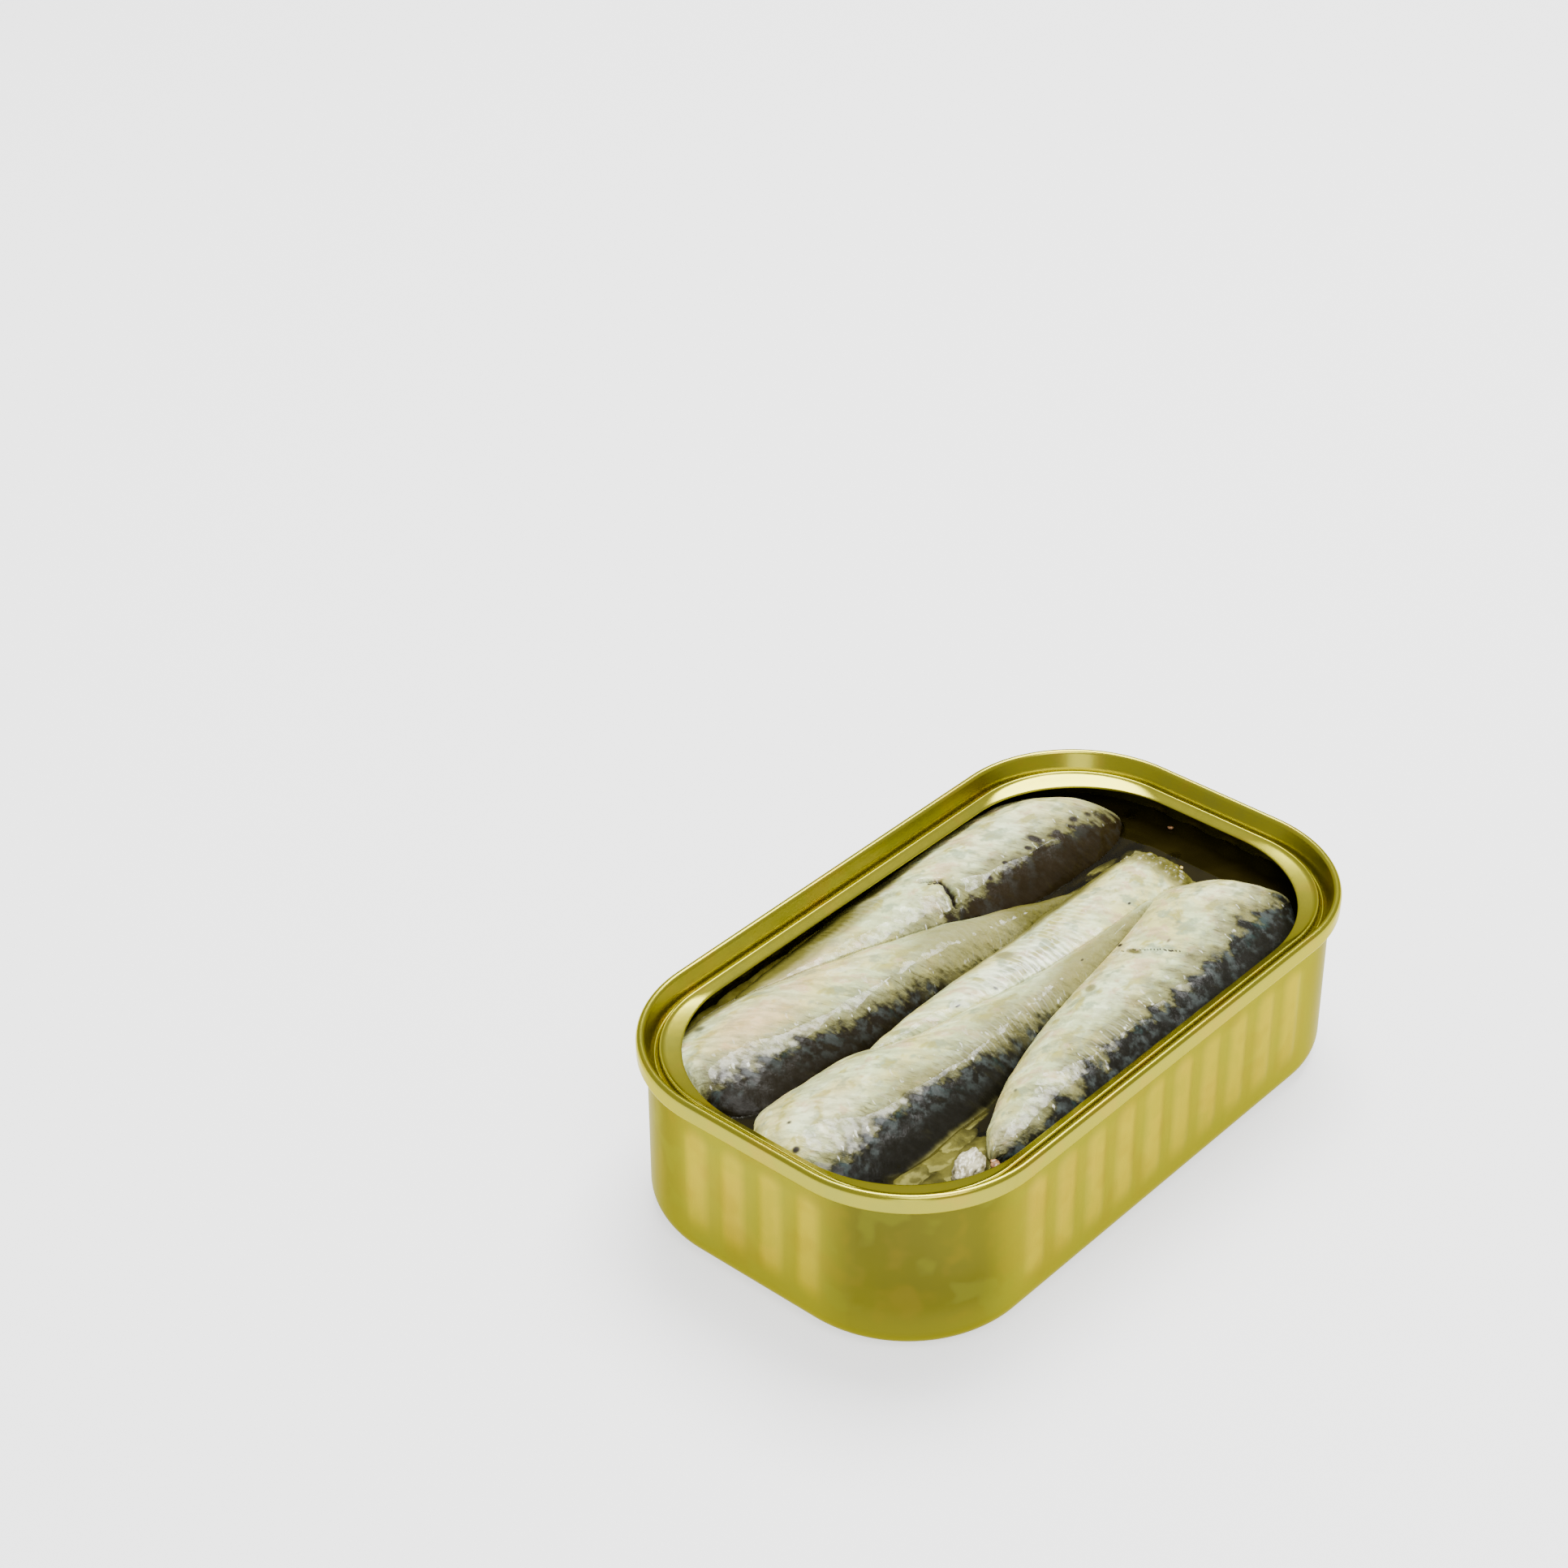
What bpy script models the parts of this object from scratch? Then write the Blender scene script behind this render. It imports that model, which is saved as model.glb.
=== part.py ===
"""Open rectangular tin of sardines in oil: drawn body, seamed lid ring, oil, five fish and a flake.

X runs along the long side, Y across, Z up. The origin is on the base, at the middle of the tin.
"""
import math

import bmesh
import bpy
import numpy as np
from mathutils import Vector

MM = 0.001

# Tin
LENGTH = 105.0 * MM
WIDTH = 61.5 * MM
HEIGHT = 27.5 * MM
CORNER_RADIUS = 20.5 * MM
SHEET = 0.3 * MM
GAP = 0.3 * MM

# Double seam and lid ring, as insets from the rim's outer face and drops from its top
SEAM_HEIGHT = 2.8 * MM
SEAM_THICKNESS = 1.3 * MM
WALL_INSET = 1.45 * MM
CHUCK_FOOT_INSET = 2.15 * MM
GROOVE_INSET = 2.6 * MM
GROOVE_DROP = 3.2 * MM
BEAD_INSET = 3.0 * MM
BEAD_DROP = 2.35 * MM
LEDGE_START_INSET = 3.45 * MM
LEDGE_DROP = 2.6 * MM
CUT_EDGE_INSET = 5.1 * MM
CUT_EDGE_CORNER_EXTRA = 3.5 * MM
LID_CORNER_STEPS = 10

# Body wall
FOOT_RADIUS = 3.5 * MM
FOOT_STEPS = 3
BODY_CORNER_STEPS = 7
LONG_FLUTES = 10
SHORT_FLUTES = 4
LONG_FLUTE_PITCH = 6.4 * MM
SHORT_FLUTE_PITCH = 6.5 * MM
FLUTE_CREST_WIDTH = 3.0 * MM
FLUTE_BASE_WIDTH = 4.8 * MM
FLUTE_DEPTH = 0.35 * MM
FLUTE_FEET = (4.4 * MM, 5.8 * MM)
FLUTE_HEADS = (21.0 * MM, 22.6 * MM)

# Oil
OIL_LEVEL = 20.3 * MM

# Fish: rings round each fish, and sides of each ring
FISH_RINGS = 22
FISH_SIDES = 20
FISH_FLOOR = 3.6 * MM
THICKEST_PER_WIDTH = 0.7
TAIL_ROUNDING = 4.0 * MM

# Each fish lies on its side with its belly keel towards +Y, over the dark back of the fish behind it.
# The lines are plan points in millimetres from left to right, and the crown is the height of the ridge.
FISH = {
    "sardine_1": {
        "keel": ((-34, 25.4), (-18, 26.8), (-8, 27.8), (10, 28.7), (30, 28.7), (37, 27.4), (41, 24), (45.5, 16)),
        "back": ((-34, 23.6), (-20, 18), (-8, 13.5), (5, 10), (20, 8.2), (40, 8.2), (45.5, 10)),
        "crown": ((-34, 21.6), (-12, 23.2), (12, 24.4), (38, 24.4), (45.5, 22.4)),
        "keel_height": 20.8,
        "back_height": 15.5,
        "head_at_left": False,
        "head_rounding": 5.0,
    },
    "sardine_2": {
        "keel": ((-45.5, 19.5), (-42, 24.0), (-34, 26.0), (-18, 23.7), (-8, 20.4), (2, 16.4), (12, 11.4),
                 (19, 8.4), (27, 6.4)),
        "back": ((-45.5, 8), (-40, 5.4), (-30, 4.6), (0, 4.0), (15, 4.0), (27, 5.0)),
        "crown": ((-45.5, 23.0), (-30, 24.5), (0, 24.0), (12, 22.8), (27, 20.4)),
        "keel_height": 21.6,
        "back_height": 16.0,
        "head_at_left": True,
        "head_rounding": 5.0,
    },
    "sardine_3": {
        "keel": ((-26, 3.4), (-18, 4.2), (0, 4.7), (20, 4.7), (40, 5.2)),
        "back": ((-26, 2.2), (-10, -4), (5, -9), (20, -11), (40, -8)),
        "crown": ((-26, 22.8), (0, 23.6), (25, 23.6), (40, 22.8)),
        "keel_height": 22.2,
        "back_height": 17.0,
        "head_at_left": False,
        "head_rounding": 2.5,
    },
    "sardine_4": {
        "keel": ((-48.8, 3.5), (-43, 5.8), (-34, 5.6), (-25, 4.6), (-20, 2.2), (-14, 0.6), (-5, -1.2),
                 (5, -3.0), (30, -4.8)),
        "back": ((-48.8, -10), (-42, -14.6), (-25, -15.8), (-10, -14), (5, -11.8), (30, -6.6)),
        "crown": ((-48.8, 23.4), (-30, 24.5), (-5, 24.3), (10, 24.0), (30, 23.3)),
        "keel_height": 22.3,
        "back_height": 16.2,
        "head_at_left": True,
        "head_rounding": 5.0,
    },
    "sardine_5": {
        "keel": ((-28.5, -19.6), (-19, -15.6), (-9, -12.6), (1, -10), (11, -8), (21, -6.2), (29, -4.2),
                 (35, -5.6), (40, -9.8), (43.6, -16.5)),
        "back": ((-28.5, -24), (-20, -27.4), (-5, -28.7), (30, -28.7), (38, -26.4), (43.6, -21)),
        "crown": ((-28.5, 22.2), (-10, 24.0), (10, 24.5), (30, 24.5), (43.6, 23.2)),
        "keel_height": 22.6,
        "back_height": 16.0,
        "head_at_left": False,
        "head_rounding": 5.0,
    },
}

# The fish that lie over each fish, whose own shape gives way to them
LIES_UNDER = {
    "sardine_1": ("sardine_2", "sardine_3"),
    "sardine_2": ("sardine_3", "sardine_4"),
    "sardine_3": ("sardine_4", "sardine_5"),
    "sardine_4": ("sardine_5",),
    "sardine_5": (),
}

# Tear across the flank of the rear fish
TEAR_CENTRE = (9.6 * MM, 17.6 * MM, 24.3 * MM)
TEAR_HALF_SIZE = (3.4 * MM, 0.45 * MM, 1.3 * MM)
TEAR_TURN = math.radians(72)

# Loose flake of flesh at the front left
FLAKE_CENTRE = (-32.6 * MM, -21.0 * MM, 21.3 * MM)
FLAKE_HALF_SIZE = (3.4 * MM, 1.9 * MM, 1.7 * MM)
FLAKE_TURN = math.radians(24)

# Finishes: colour, roughness, metallic
FINISHES = {
    "gold_lacquer": ((0.62, 0.53, 0.14), 0.32, 1.0),
    "fish_skin": ((0.66, 0.63, 0.52), 0.3, 0.0),
    "olive_oil": ((0.28, 0.24, 0.05), 0.08, 0.0),
    "fish_flesh": ((0.8, 0.76, 0.66), 0.4, 0.0),
}


def clear_scene():
    """Remove every object of the open file."""
    for item in list(bpy.data.objects):
        bpy.data.objects.remove(item, do_unlink=True)


def new_collection(name):
    """Add a collection to the scene."""
    collection = bpy.data.collections.new(name)
    bpy.context.scene.collection.children.link(collection)
    return collection


def finish_material(name):
    """Principled material for one finish."""
    colour, roughness, metallic = FINISHES[name]
    material = bpy.data.materials.new(name)
    material.use_nodes = True
    shader = material.node_tree.nodes["Principled BSDF"]
    shader.inputs["Base Color"].default_value = (*colour, 1.0)
    shader.inputs["Roughness"].default_value = roughness
    shader.inputs["Metallic"].default_value = metallic
    material.diffuse_color = (*colour, 1.0)
    return material


def face_outwards(bm):
    """Turn the faces of a closed bmesh outwards."""
    bmesh.ops.recalc_face_normals(bm, faces=bm.faces[:])
    if bm.calc_volume(signed=True) < 0:
        bmesh.ops.reverse_faces(bm, faces=bm.faces[:])
    bm.normal_update()


def add_object(name, bm, collection, material=None):
    """Turn a bmesh into an object with outward faces and smooth round sides."""
    face_outwards(bm)
    mesh = bpy.data.meshes.new(name)
    bm.to_mesh(mesh)
    bm.free()
    mesh.shade_smooth()
    mesh.set_sharp_from_angle(angle=math.radians(35))
    item = bpy.data.objects.new(name, mesh)
    collection.objects.link(item)
    if material:
        item.data.materials.append(material)
    return item


def add_boolean(item, other, operation, solver="EXACT"):
    """Cut an object by another, or keep what they share."""
    modifier = item.modifiers.new(f"{operation.lower()}_{other.name}", "BOOLEAN")
    modifier.operation = operation
    modifier.object = other
    modifier.solver = solver


def keep_largest_body(item):
    """Apply the cuts and drop the loose scraps that they leave."""
    graph = bpy.context.evaluated_depsgraph_get()
    mesh = bpy.data.meshes.new_from_object(item.evaluated_get(graph))
    item.modifiers.clear()
    item.data = mesh
    bm = bmesh.new()
    bm.from_mesh(mesh)
    waiting = set(bm.verts)
    bodies = []
    while waiting:
        reached = [waiting.pop()]
        body = set(reached)
        while reached:
            vert = reached.pop()
            for edge in vert.link_edges:
                other = edge.other_vert(vert)
                if other in waiting:
                    waiting.discard(other)
                    body.add(other)
                    reached.append(other)
        bodies.append(body)
    bodies.sort(key=len)
    scraps = [vert for body in bodies[:-1] for vert in body]
    bmesh.ops.delete(bm, geom=scraps, context="VERTS")
    bm.to_mesh(mesh)
    bm.free()


def quarter_length():
    """Length of the rim from the middle of a long side to the middle of a short side."""
    straight = LENGTH / 2 + WIDTH / 2 - 2 * CORNER_RADIUS
    return straight + CORNER_RADIUS * math.pi / 2


def rim_place(along, inset, corner_extra=0.0):
    """Plan point on the rim, moved in by the inset, with the corner's radius made larger by the extra.

    Along is measured from the middle of the front side.
    """
    quarter, run = divmod(along, quarter_length())
    if quarter % 2:
        run = quarter_length() - run
    half_long = LENGTH / 2 - CORNER_RADIUS
    half_short = WIDTH / 2 - CORNER_RADIUS
    turn = min(max((run - half_long) / CORNER_RADIUS, 0.0), math.pi / 2)
    past_corner = max(run - half_long - CORNER_RADIUS * math.pi / 2, 0.0)
    if run >= half_long:
        half_long -= corner_extra
    reach = CORNER_RADIUS - inset + corner_extra
    x = min(run, half_long) + reach * math.sin(turn)
    y = half_short - corner_extra - past_corner + reach * math.cos(turn)
    side_x = 1 if quarter < 2 else -1
    side_y = 1 if quarter in (1, 2) else -1
    return x * side_x, y * side_y


def whole_rim(quarter_columns):
    """Repeat the columns of one quarter round the rim, mirrored at the middle of each side."""
    quarter = quarter_length()
    columns = []
    for index in range(4):
        runs = quarter_columns if index % 2 == 0 else [quarter - run for run in reversed(quarter_columns)]
        columns += [index * quarter + run for run in runs]
    return columns


def corner_columns(start, end, steps):
    """Evenly spaced columns round one corner."""
    return [start + (end - start) * step / steps for step in range(steps + 1)]


def flute_centres():
    """Places of the flutes of one quarter, measured from the middle of the long side."""
    long_side = [(k + 0.5) * LONG_FLUTE_PITCH for k in range(LONG_FLUTES // 2)]
    short_side = [quarter_length() - (k + 0.5) * SHORT_FLUTE_PITCH for k in range(SHORT_FLUTES // 2)]
    return long_side + short_side[::-1]


def body_columns():
    """Columns of the body wall: four for each flute, and even ones round the corner between."""
    columns = []
    for centre in flute_centres():
        for half in (-FLUTE_BASE_WIDTH, -FLUTE_CREST_WIDTH, FLUTE_CREST_WIDTH, FLUTE_BASE_WIDTH):
            columns.append(centre + half / 2)
    last_long = columns[LONG_FLUTES // 2 * 4 - 1]
    first_short = columns[LONG_FLUTES // 2 * 4]
    between = corner_columns(last_long, first_short, BODY_CORNER_STEPS)[1:-1]
    return whole_rim(sorted(columns + between))


def ramp(value, low, high):
    """Rise from 0 at low to 1 at high."""
    return min(max((value - low) / (high - low), 0.0), 1.0)


def flute_relief(along, z):
    """How far a flute stands out of the wall at a place on it."""
    quarter, run = divmod(along, quarter_length())
    if quarter % 2:
        run = quarter_length() - run
    nearest = min(abs(run - centre) for centre in flute_centres())
    across = ramp(nearest, FLUTE_BASE_WIDTH / 2, FLUTE_CREST_WIDTH / 2)
    up = min(ramp(z, *FLUTE_FEET), ramp(z, FLUTE_HEADS[1], FLUTE_HEADS[0]))
    return FLUTE_DEPTH * across * up


def sweep_rim(columns, profile, relief=None, closed=False, capped=False):
    """Sweep a profile of (inset, height) pairs round the rim. Relief pushes points outwards.

    A third value in a pair widens the corners there.
    """
    bm = bmesh.new()
    layer = bm.verts.layers.int.new("column")
    start = bmesh.ops.create_circle(bm, segments=len(columns), radius=WIDTH, cap_ends=capped)["verts"]
    for index, vert in enumerate(start):
        vert[layer] = index

    def place(verts, inset, z, corner_extra=0.0):
        for vert in verts:
            along = columns[vert[layer]]
            x, y = rim_place(along, inset - (relief(along, z) if relief else 0.0), corner_extra)
            vert.co = (x, y, z)

    place(start, *profile[0])
    first_edges = [edge for edge in bm.edges]
    edges = first_edges
    for point in profile[1:]:
        grown = bmesh.ops.extrude_edge_only(bm, edges=edges)["geom"]
        edges = [part for part in grown if isinstance(part, bmesh.types.BMEdge)]
        place([part for part in grown if isinstance(part, bmesh.types.BMVert)], *point)
    if closed:
        bmesh.ops.bridge_loops(bm, edges=first_edges + edges)
    elif capped:
        bmesh.ops.edgeloop_fill(bm, edges=edges)
    return bm


def body_profile():
    """Outer side of the drawn body: flat base, rounded foot, then a straight wall with the flutes."""
    profile = []
    for step in range(FOOT_STEPS + 1):
        turn = math.pi / 2 * step / FOOT_STEPS
        inset = WALL_INSET + FOOT_RADIUS * (1 - math.sin(turn))
        profile.append((inset, FOOT_RADIUS * (1 - math.cos(turn))))
    wall_top = HEIGHT - SEAM_HEIGHT - GAP
    for z in (*FLUTE_FEET, *FLUTE_HEADS, wall_top):
        profile.append((WALL_INSET, z))
    return profile


def make_body(collection):
    """Drawn body as one sheet, open at the top."""
    bm = sweep_rim(body_columns(), body_profile(), relief=flute_relief)
    bmesh.ops.edgeloop_fill(bm, edges=[edge for edge in bm.edges if all(v.co.z < GAP for v in edge.verts)])
    item = add_object("can_body", bm, collection, finish_material("gold_lacquer"))
    shell = item.modifiers.new("sheet", "SOLIDIFY")
    shell.thickness = SHEET
    shell.offset = -1
    shell.use_even_offset = True
    return item


def lid_profile():
    """Closed section of the seam, chuck wall, groove, bead and ledge up to the cut edge."""
    top = HEIGHT
    seam_foot = top - SEAM_HEIGHT
    ledge = top - LEDGE_DROP
    groove = top - GROOVE_DROP
    return [
        (0.25 * MM, seam_foot),
        (0.0, seam_foot + 0.4 * MM),
        (0.0, top - 0.75 * MM),
        (0.2 * MM, top - 0.22 * MM),
        (SEAM_THICKNESS / 2, top),
        (SEAM_THICKNESS - 0.2 * MM, top - 0.22 * MM),
        (SEAM_THICKNESS + 0.05 * MM, top - 0.75 * MM),
        (CHUCK_FOOT_INSET, groove + 0.35 * MM),
        (GROOVE_INSET, groove),
        (BEAD_INSET - 0.15 * MM, top - BEAD_DROP - 0.2 * MM),
        (BEAD_INSET, top - BEAD_DROP),
        (BEAD_INSET + 0.2 * MM, top - BEAD_DROP),
        (LEDGE_START_INSET, ledge + SHEET),
        (CUT_EDGE_INSET, ledge + SHEET, CUT_EDGE_CORNER_EXTRA),
        (CUT_EDGE_INSET, ledge, CUT_EDGE_CORNER_EXTRA),
        (LEDGE_START_INSET, ledge - 0.05 * MM),
        (GROOVE_INSET + 0.3 * MM, groove - SHEET),
        (GROOVE_INSET - 0.2 * MM, groove - SHEET),
        (CHUCK_FOOT_INSET - 0.3 * MM, seam_foot),
    ]


def make_lid_ring(collection):
    """What the peeled lid leaves: the double seam round the rim and a narrow ledge inside it."""
    half_long = LENGTH / 2 - CORNER_RADIUS
    columns = corner_columns(half_long, half_long + CORNER_RADIUS * math.pi / 2, LID_CORNER_STEPS)
    bm = sweep_rim(whole_rim(columns), lid_profile(), closed=True)
    return add_object("lid_ring", bm, collection, finish_material("gold_lacquer"))


def contents_block(name, top, clearance, collection):
    """Solid that fills the tin up to a height, clear of the sheet."""
    inset = WALL_INSET + SHEET + clearance
    floor = SHEET + clearance
    profile = []
    for step in range(FOOT_STEPS + 1):
        turn = math.pi / 2 * step / FOOT_STEPS
        profile.append((
            inset + FOOT_RADIUS * (1 - math.sin(turn)),
            floor + FOOT_RADIUS * (1 - math.cos(turn)),
        ))
    profile.append((inset, top))
    half_long = LENGTH / 2 - CORNER_RADIUS
    columns = corner_columns(half_long, half_long + CORNER_RADIUS * math.pi / 2, LID_CORNER_STEPS)
    bm = sweep_rim(whole_rim(columns), profile, capped=True)
    return add_object(name, bm, collection)


def smooth_line(points, x):
    """Smooth curve through plan points, read at x."""
    places, values = (np.array(part, dtype=float) for part in zip(*points))
    slopes = np.gradient(values, places)
    index = int(np.clip(np.searchsorted(places, x) - 1, 0, len(places) - 2))
    span = places[index + 1] - places[index]
    t = (x - places[index]) / span
    start = values[index] * (1 + 2 * t) * (1 - t) ** 2 + slopes[index] * span * t * (1 - t) ** 2
    end = values[index + 1] * t * t * (3 - 2 * t) - slopes[index + 1] * span * t * t * (1 - t)
    return float(start + end)


def end_size(distance, rounding):
    """Size of the section near an end that is rounded off over a length."""
    left = 1 - min(max(distance / rounding, 0.0), 1.0)
    return (1 - left ** 2.4) ** (1 / 2.4)


def section_shape(share, keel_power):
    """Height of half a fish section over its chord, from 0 at the back to 1 at its fullest and 0 at the keel."""
    fullest = 0.5 / (0.5 + keel_power)
    peak = fullest ** 0.5 * (1 - fullest) ** keel_power
    return share ** 0.5 * max(1 - share, 0.0) ** keel_power / peak


def fish_point(fish, way, angle):
    """Point on a fish. Way runs from -1 at its left end to 1 at its right; angle is 0 at the keel, pi at the back."""
    left, right = fish["keel"][0][0], fish["keel"][-1][0]
    x = (left + right) / 2 + (right - left) / 2 * way
    keel = Vector((smooth_line(fish["keel"], x), fish["keel_height"]))
    back = Vector((smooth_line(fish["back"], x), fish["back_height"]))
    crown = smooth_line(fish["crown"], x)
    width = (keel - back).length
    stoutness = 0.35 + 0.65 * ramp(width, 2.0, 14.0)
    keel.y = crown - max(crown - keel.y, 1.0) * stoutness
    back.y = crown - max(crown - back.y, 1.0) * stoutness
    chord_height = back.y + (keel.y - back.y) * 0.36
    rise = crown - chord_height
    depth = min(chord_height - FISH_FLOOR / MM, THICKEST_PER_WIDTH * width)
    share = (1 + math.cos(angle)) / 2
    centre = (keel + back) / 2
    point = back + (keel - back) * share
    if math.sin(angle) >= 0:
        point.y += rise * section_shape(share, 0.9)
    else:
        point.y -= depth * section_shape(share, 0.6)
    head, tail = (left, right) if fish["head_at_left"] else (right, left)
    size = end_size(abs(x - head), fish["head_rounding"]) * end_size(abs(x - tail), TAIL_ROUNDING / MM)
    point = centre + (point - centre) * size
    return Vector((x, point.x, point.y)) * MM


def fish_mesh(fish, grow=0.0):
    """Fish as a sphere drawn out along X, moved out by the growth along its normals."""
    bm = bmesh.new()
    bmesh.ops.create_uvsphere(bm, u_segments=FISH_SIDES, v_segments=FISH_RINGS, radius=1.0)
    for vert in bm.verts:
        x, y, z = vert.co
        vert.co = fish_point(fish, min(max(z, -1.0), 1.0), math.atan2(y, x))
    face_outwards(bm)
    if grow:
        moved = [vert.co + vert.normal * grow for vert in bm.verts]
        for vert, place in zip(bm.verts, moved):
            vert.co = place
    return bm


def turned_about(centre, turn, point):
    """Turn a point about Z and move it to a centre."""
    x, y, z = point
    across = x * math.cos(turn) - y * math.sin(turn)
    along = x * math.sin(turn) + y * math.cos(turn)
    return centre[0] + across, centre[1] + along, centre[2] + z


def tear_mesh():
    """Slim wedge that opens a tear in the skin."""
    bm = bmesh.new()
    bmesh.ops.create_icosphere(bm, subdivisions=1, radius=1.0)
    for vert in bm.verts:
        vert.co = turned_about(TEAR_CENTRE, TEAR_TURN, [part * size for part, size in zip(vert.co, TEAR_HALF_SIZE)])
    return bm


def flake_mesh(grow=0.0):
    """Small uneven lump of flesh."""
    bm = bmesh.new()
    bmesh.ops.create_icosphere(bm, subdivisions=2, radius=1.0)
    for vert in bm.verts:
        x, y, z = vert.co
        uneven = 1 + 0.16 * math.sin(4.1 * x + 2.3 * y) + 0.12 * math.sin(5.3 * y + 3.1 * z)
        half = [size + grow for size in FLAKE_HALF_SIZE]
        vert.co = Vector((x * half[0], y * half[1], z * half[2])) * uneven
        vert.co = turned_about(FLAKE_CENTRE, FLAKE_TURN, vert.co)
    return bm


def make_cutter(name, bm, collection):
    """Guide that only cuts other pieces."""
    cutter = add_object(name, bm, collection)
    cutter.hide_render = True
    cutter.display_type = "WIRE"
    return cutter


def make_contents(collection, cutters):
    """Fish, flake and oil, each cut by the pieces that lie over it."""
    grown = {name: make_cutter(f"{name}_room", fish_mesh(fish, GAP), cutters) for name, fish in FISH.items()}
    grown["flake"] = make_cutter("flake_room", flake_mesh(GAP), cutters)
    inside = contents_block("inside", HEIGHT - SEAM_HEIGHT - GAP, GAP, cutters)
    inside.hide_render = True
    inside.display_type = "WIRE"
    skin = finish_material("fish_skin")
    pieces = []
    for name, fish in FISH.items():
        item = add_object(name, fish_mesh(fish), collection, skin)
        add_boolean(item, inside, "INTERSECT")
        for over in LIES_UNDER[name]:
            add_boolean(item, grown[over], "DIFFERENCE")
        pieces.append(item)
    tear = make_cutter("tear", tear_mesh(), cutters)
    add_boolean(collection.objects["sardine_1"], tear, "DIFFERENCE")
    oil = contents_block("oil", OIL_LEVEL, GAP, collection)
    oil.data.materials.append(finish_material("olive_oil"))
    for cutter in grown.values():
        add_boolean(oil, cutter, "DIFFERENCE", "MANIFOLD")
    pieces.append(oil)
    for item in pieces:
        keep_largest_body(item)
    add_object("flake", flake_mesh(), collection, finish_material("fish_flesh"))


def main():
    """Build the tin and what is in it."""
    clear_scene()
    parts = new_collection("sardine_tin")
    cutters = new_collection("cutters")
    make_body(parts)
    make_lid_ring(parts)
    make_contents(parts, cutters)


main()
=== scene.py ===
"""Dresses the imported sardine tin: gold lacquered tin, wet fish, olive oil, a flake and crumbs.

X runs along the long side, Y across, Z up. Fish are worked out in millimetres and placed in metres.
"""

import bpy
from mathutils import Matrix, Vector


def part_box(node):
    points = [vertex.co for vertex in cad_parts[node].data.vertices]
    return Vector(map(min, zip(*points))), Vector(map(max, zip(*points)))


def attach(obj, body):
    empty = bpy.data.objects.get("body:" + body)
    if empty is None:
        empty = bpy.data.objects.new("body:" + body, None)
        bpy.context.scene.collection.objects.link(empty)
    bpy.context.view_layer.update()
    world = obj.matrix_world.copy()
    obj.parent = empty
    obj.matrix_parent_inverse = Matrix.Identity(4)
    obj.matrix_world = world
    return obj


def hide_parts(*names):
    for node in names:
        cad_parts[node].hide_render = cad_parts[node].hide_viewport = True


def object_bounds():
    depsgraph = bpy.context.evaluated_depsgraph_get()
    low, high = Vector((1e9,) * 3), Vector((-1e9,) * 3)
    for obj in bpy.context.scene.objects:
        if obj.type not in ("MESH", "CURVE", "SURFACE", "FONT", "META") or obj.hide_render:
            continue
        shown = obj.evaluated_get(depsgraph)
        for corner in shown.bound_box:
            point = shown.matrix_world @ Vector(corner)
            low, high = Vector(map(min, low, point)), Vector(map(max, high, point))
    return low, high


bl_info = {
    "name": "Sardine Tin Dresser",
    "version": (1, 0, 0),
    "blender": (4, 5, 0),
    "location": "3D View > Sidebar > Sardine Tin",
    "description": "Dresses a packed open tin of sardines in oil with its finishes and fine shapes",
    "category": "Object",
}

import math

import bmesh
import bpy
import numpy as np
from bpy.props import FloatProperty, FloatVectorProperty, IntProperty, PointerProperty
from mathutils import Matrix, Vector, noise

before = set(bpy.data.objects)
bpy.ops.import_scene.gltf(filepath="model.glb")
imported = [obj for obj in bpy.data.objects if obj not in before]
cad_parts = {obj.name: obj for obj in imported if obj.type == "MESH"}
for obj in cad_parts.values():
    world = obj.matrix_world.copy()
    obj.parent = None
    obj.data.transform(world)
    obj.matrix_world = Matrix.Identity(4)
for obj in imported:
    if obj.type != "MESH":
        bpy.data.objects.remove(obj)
CAD_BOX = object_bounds()
MM = 0.001

# Photograph's camera: place, turn and lens
EYE = Vector((-0.2966, -0.2243, 0.3042))
YAW = math.radians(48.37)
PITCH = math.radians(-33.85)
ROLL = math.radians(-0.39)
LENS = 77.2
SENSOR = 36.0

# Square lamps, by name, size and place, and the place that they all face
LAMPS = (
    ("key", 0.6, (0.34, 0.16, 0.9)),
    ("fill", 0.5, (-0.25, -0.45, 0.8)),
    ("front", 0.24, (-0.5, -0.42, 0.13)),
)
LAMP_TARGET = Vector((0.0, 0.0, 0.01))

# Lid ring's section, as insets from the rim's outer face and drops from its top, in millimetres.
# A third value widens the corners there.
LID_SECTION = (
    (0.28, 2.8), (0.06, 2.62), (0.0, 2.3), (0.0, 1.5), (0.0, 0.75), (0.2, 0.22), (0.65, 0.0), (1.1, 0.2),
    (1.33, 0.7), (1.62, 1.45), (1.95, 2.3), (2.15, 2.85), (2.32, 3.12), (2.55, 3.2), (2.76, 3.0), (2.92, 2.5),
    (3.08, 2.22), (3.28, 2.16), (3.46, 2.25), (3.7, 2.4), (4.15, 2.68, 2.0), (4.55, 2.93, 3.5),
    (4.66, 3.04, 3.5), (4.66, 3.18, 3.5), (4.52, 3.25, 3.5), (4.05, 3.02, 1.8), (3.5, 2.7), (3.2, 2.8),
    (2.95, 3.3), (2.6, 3.5), (2.3, 3.45), (2.05, 3.1), (1.85, 2.8), (1.0, 2.8),
)
SECTION_STEPS = 3
RING_CORNER_STEPS = 30

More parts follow.
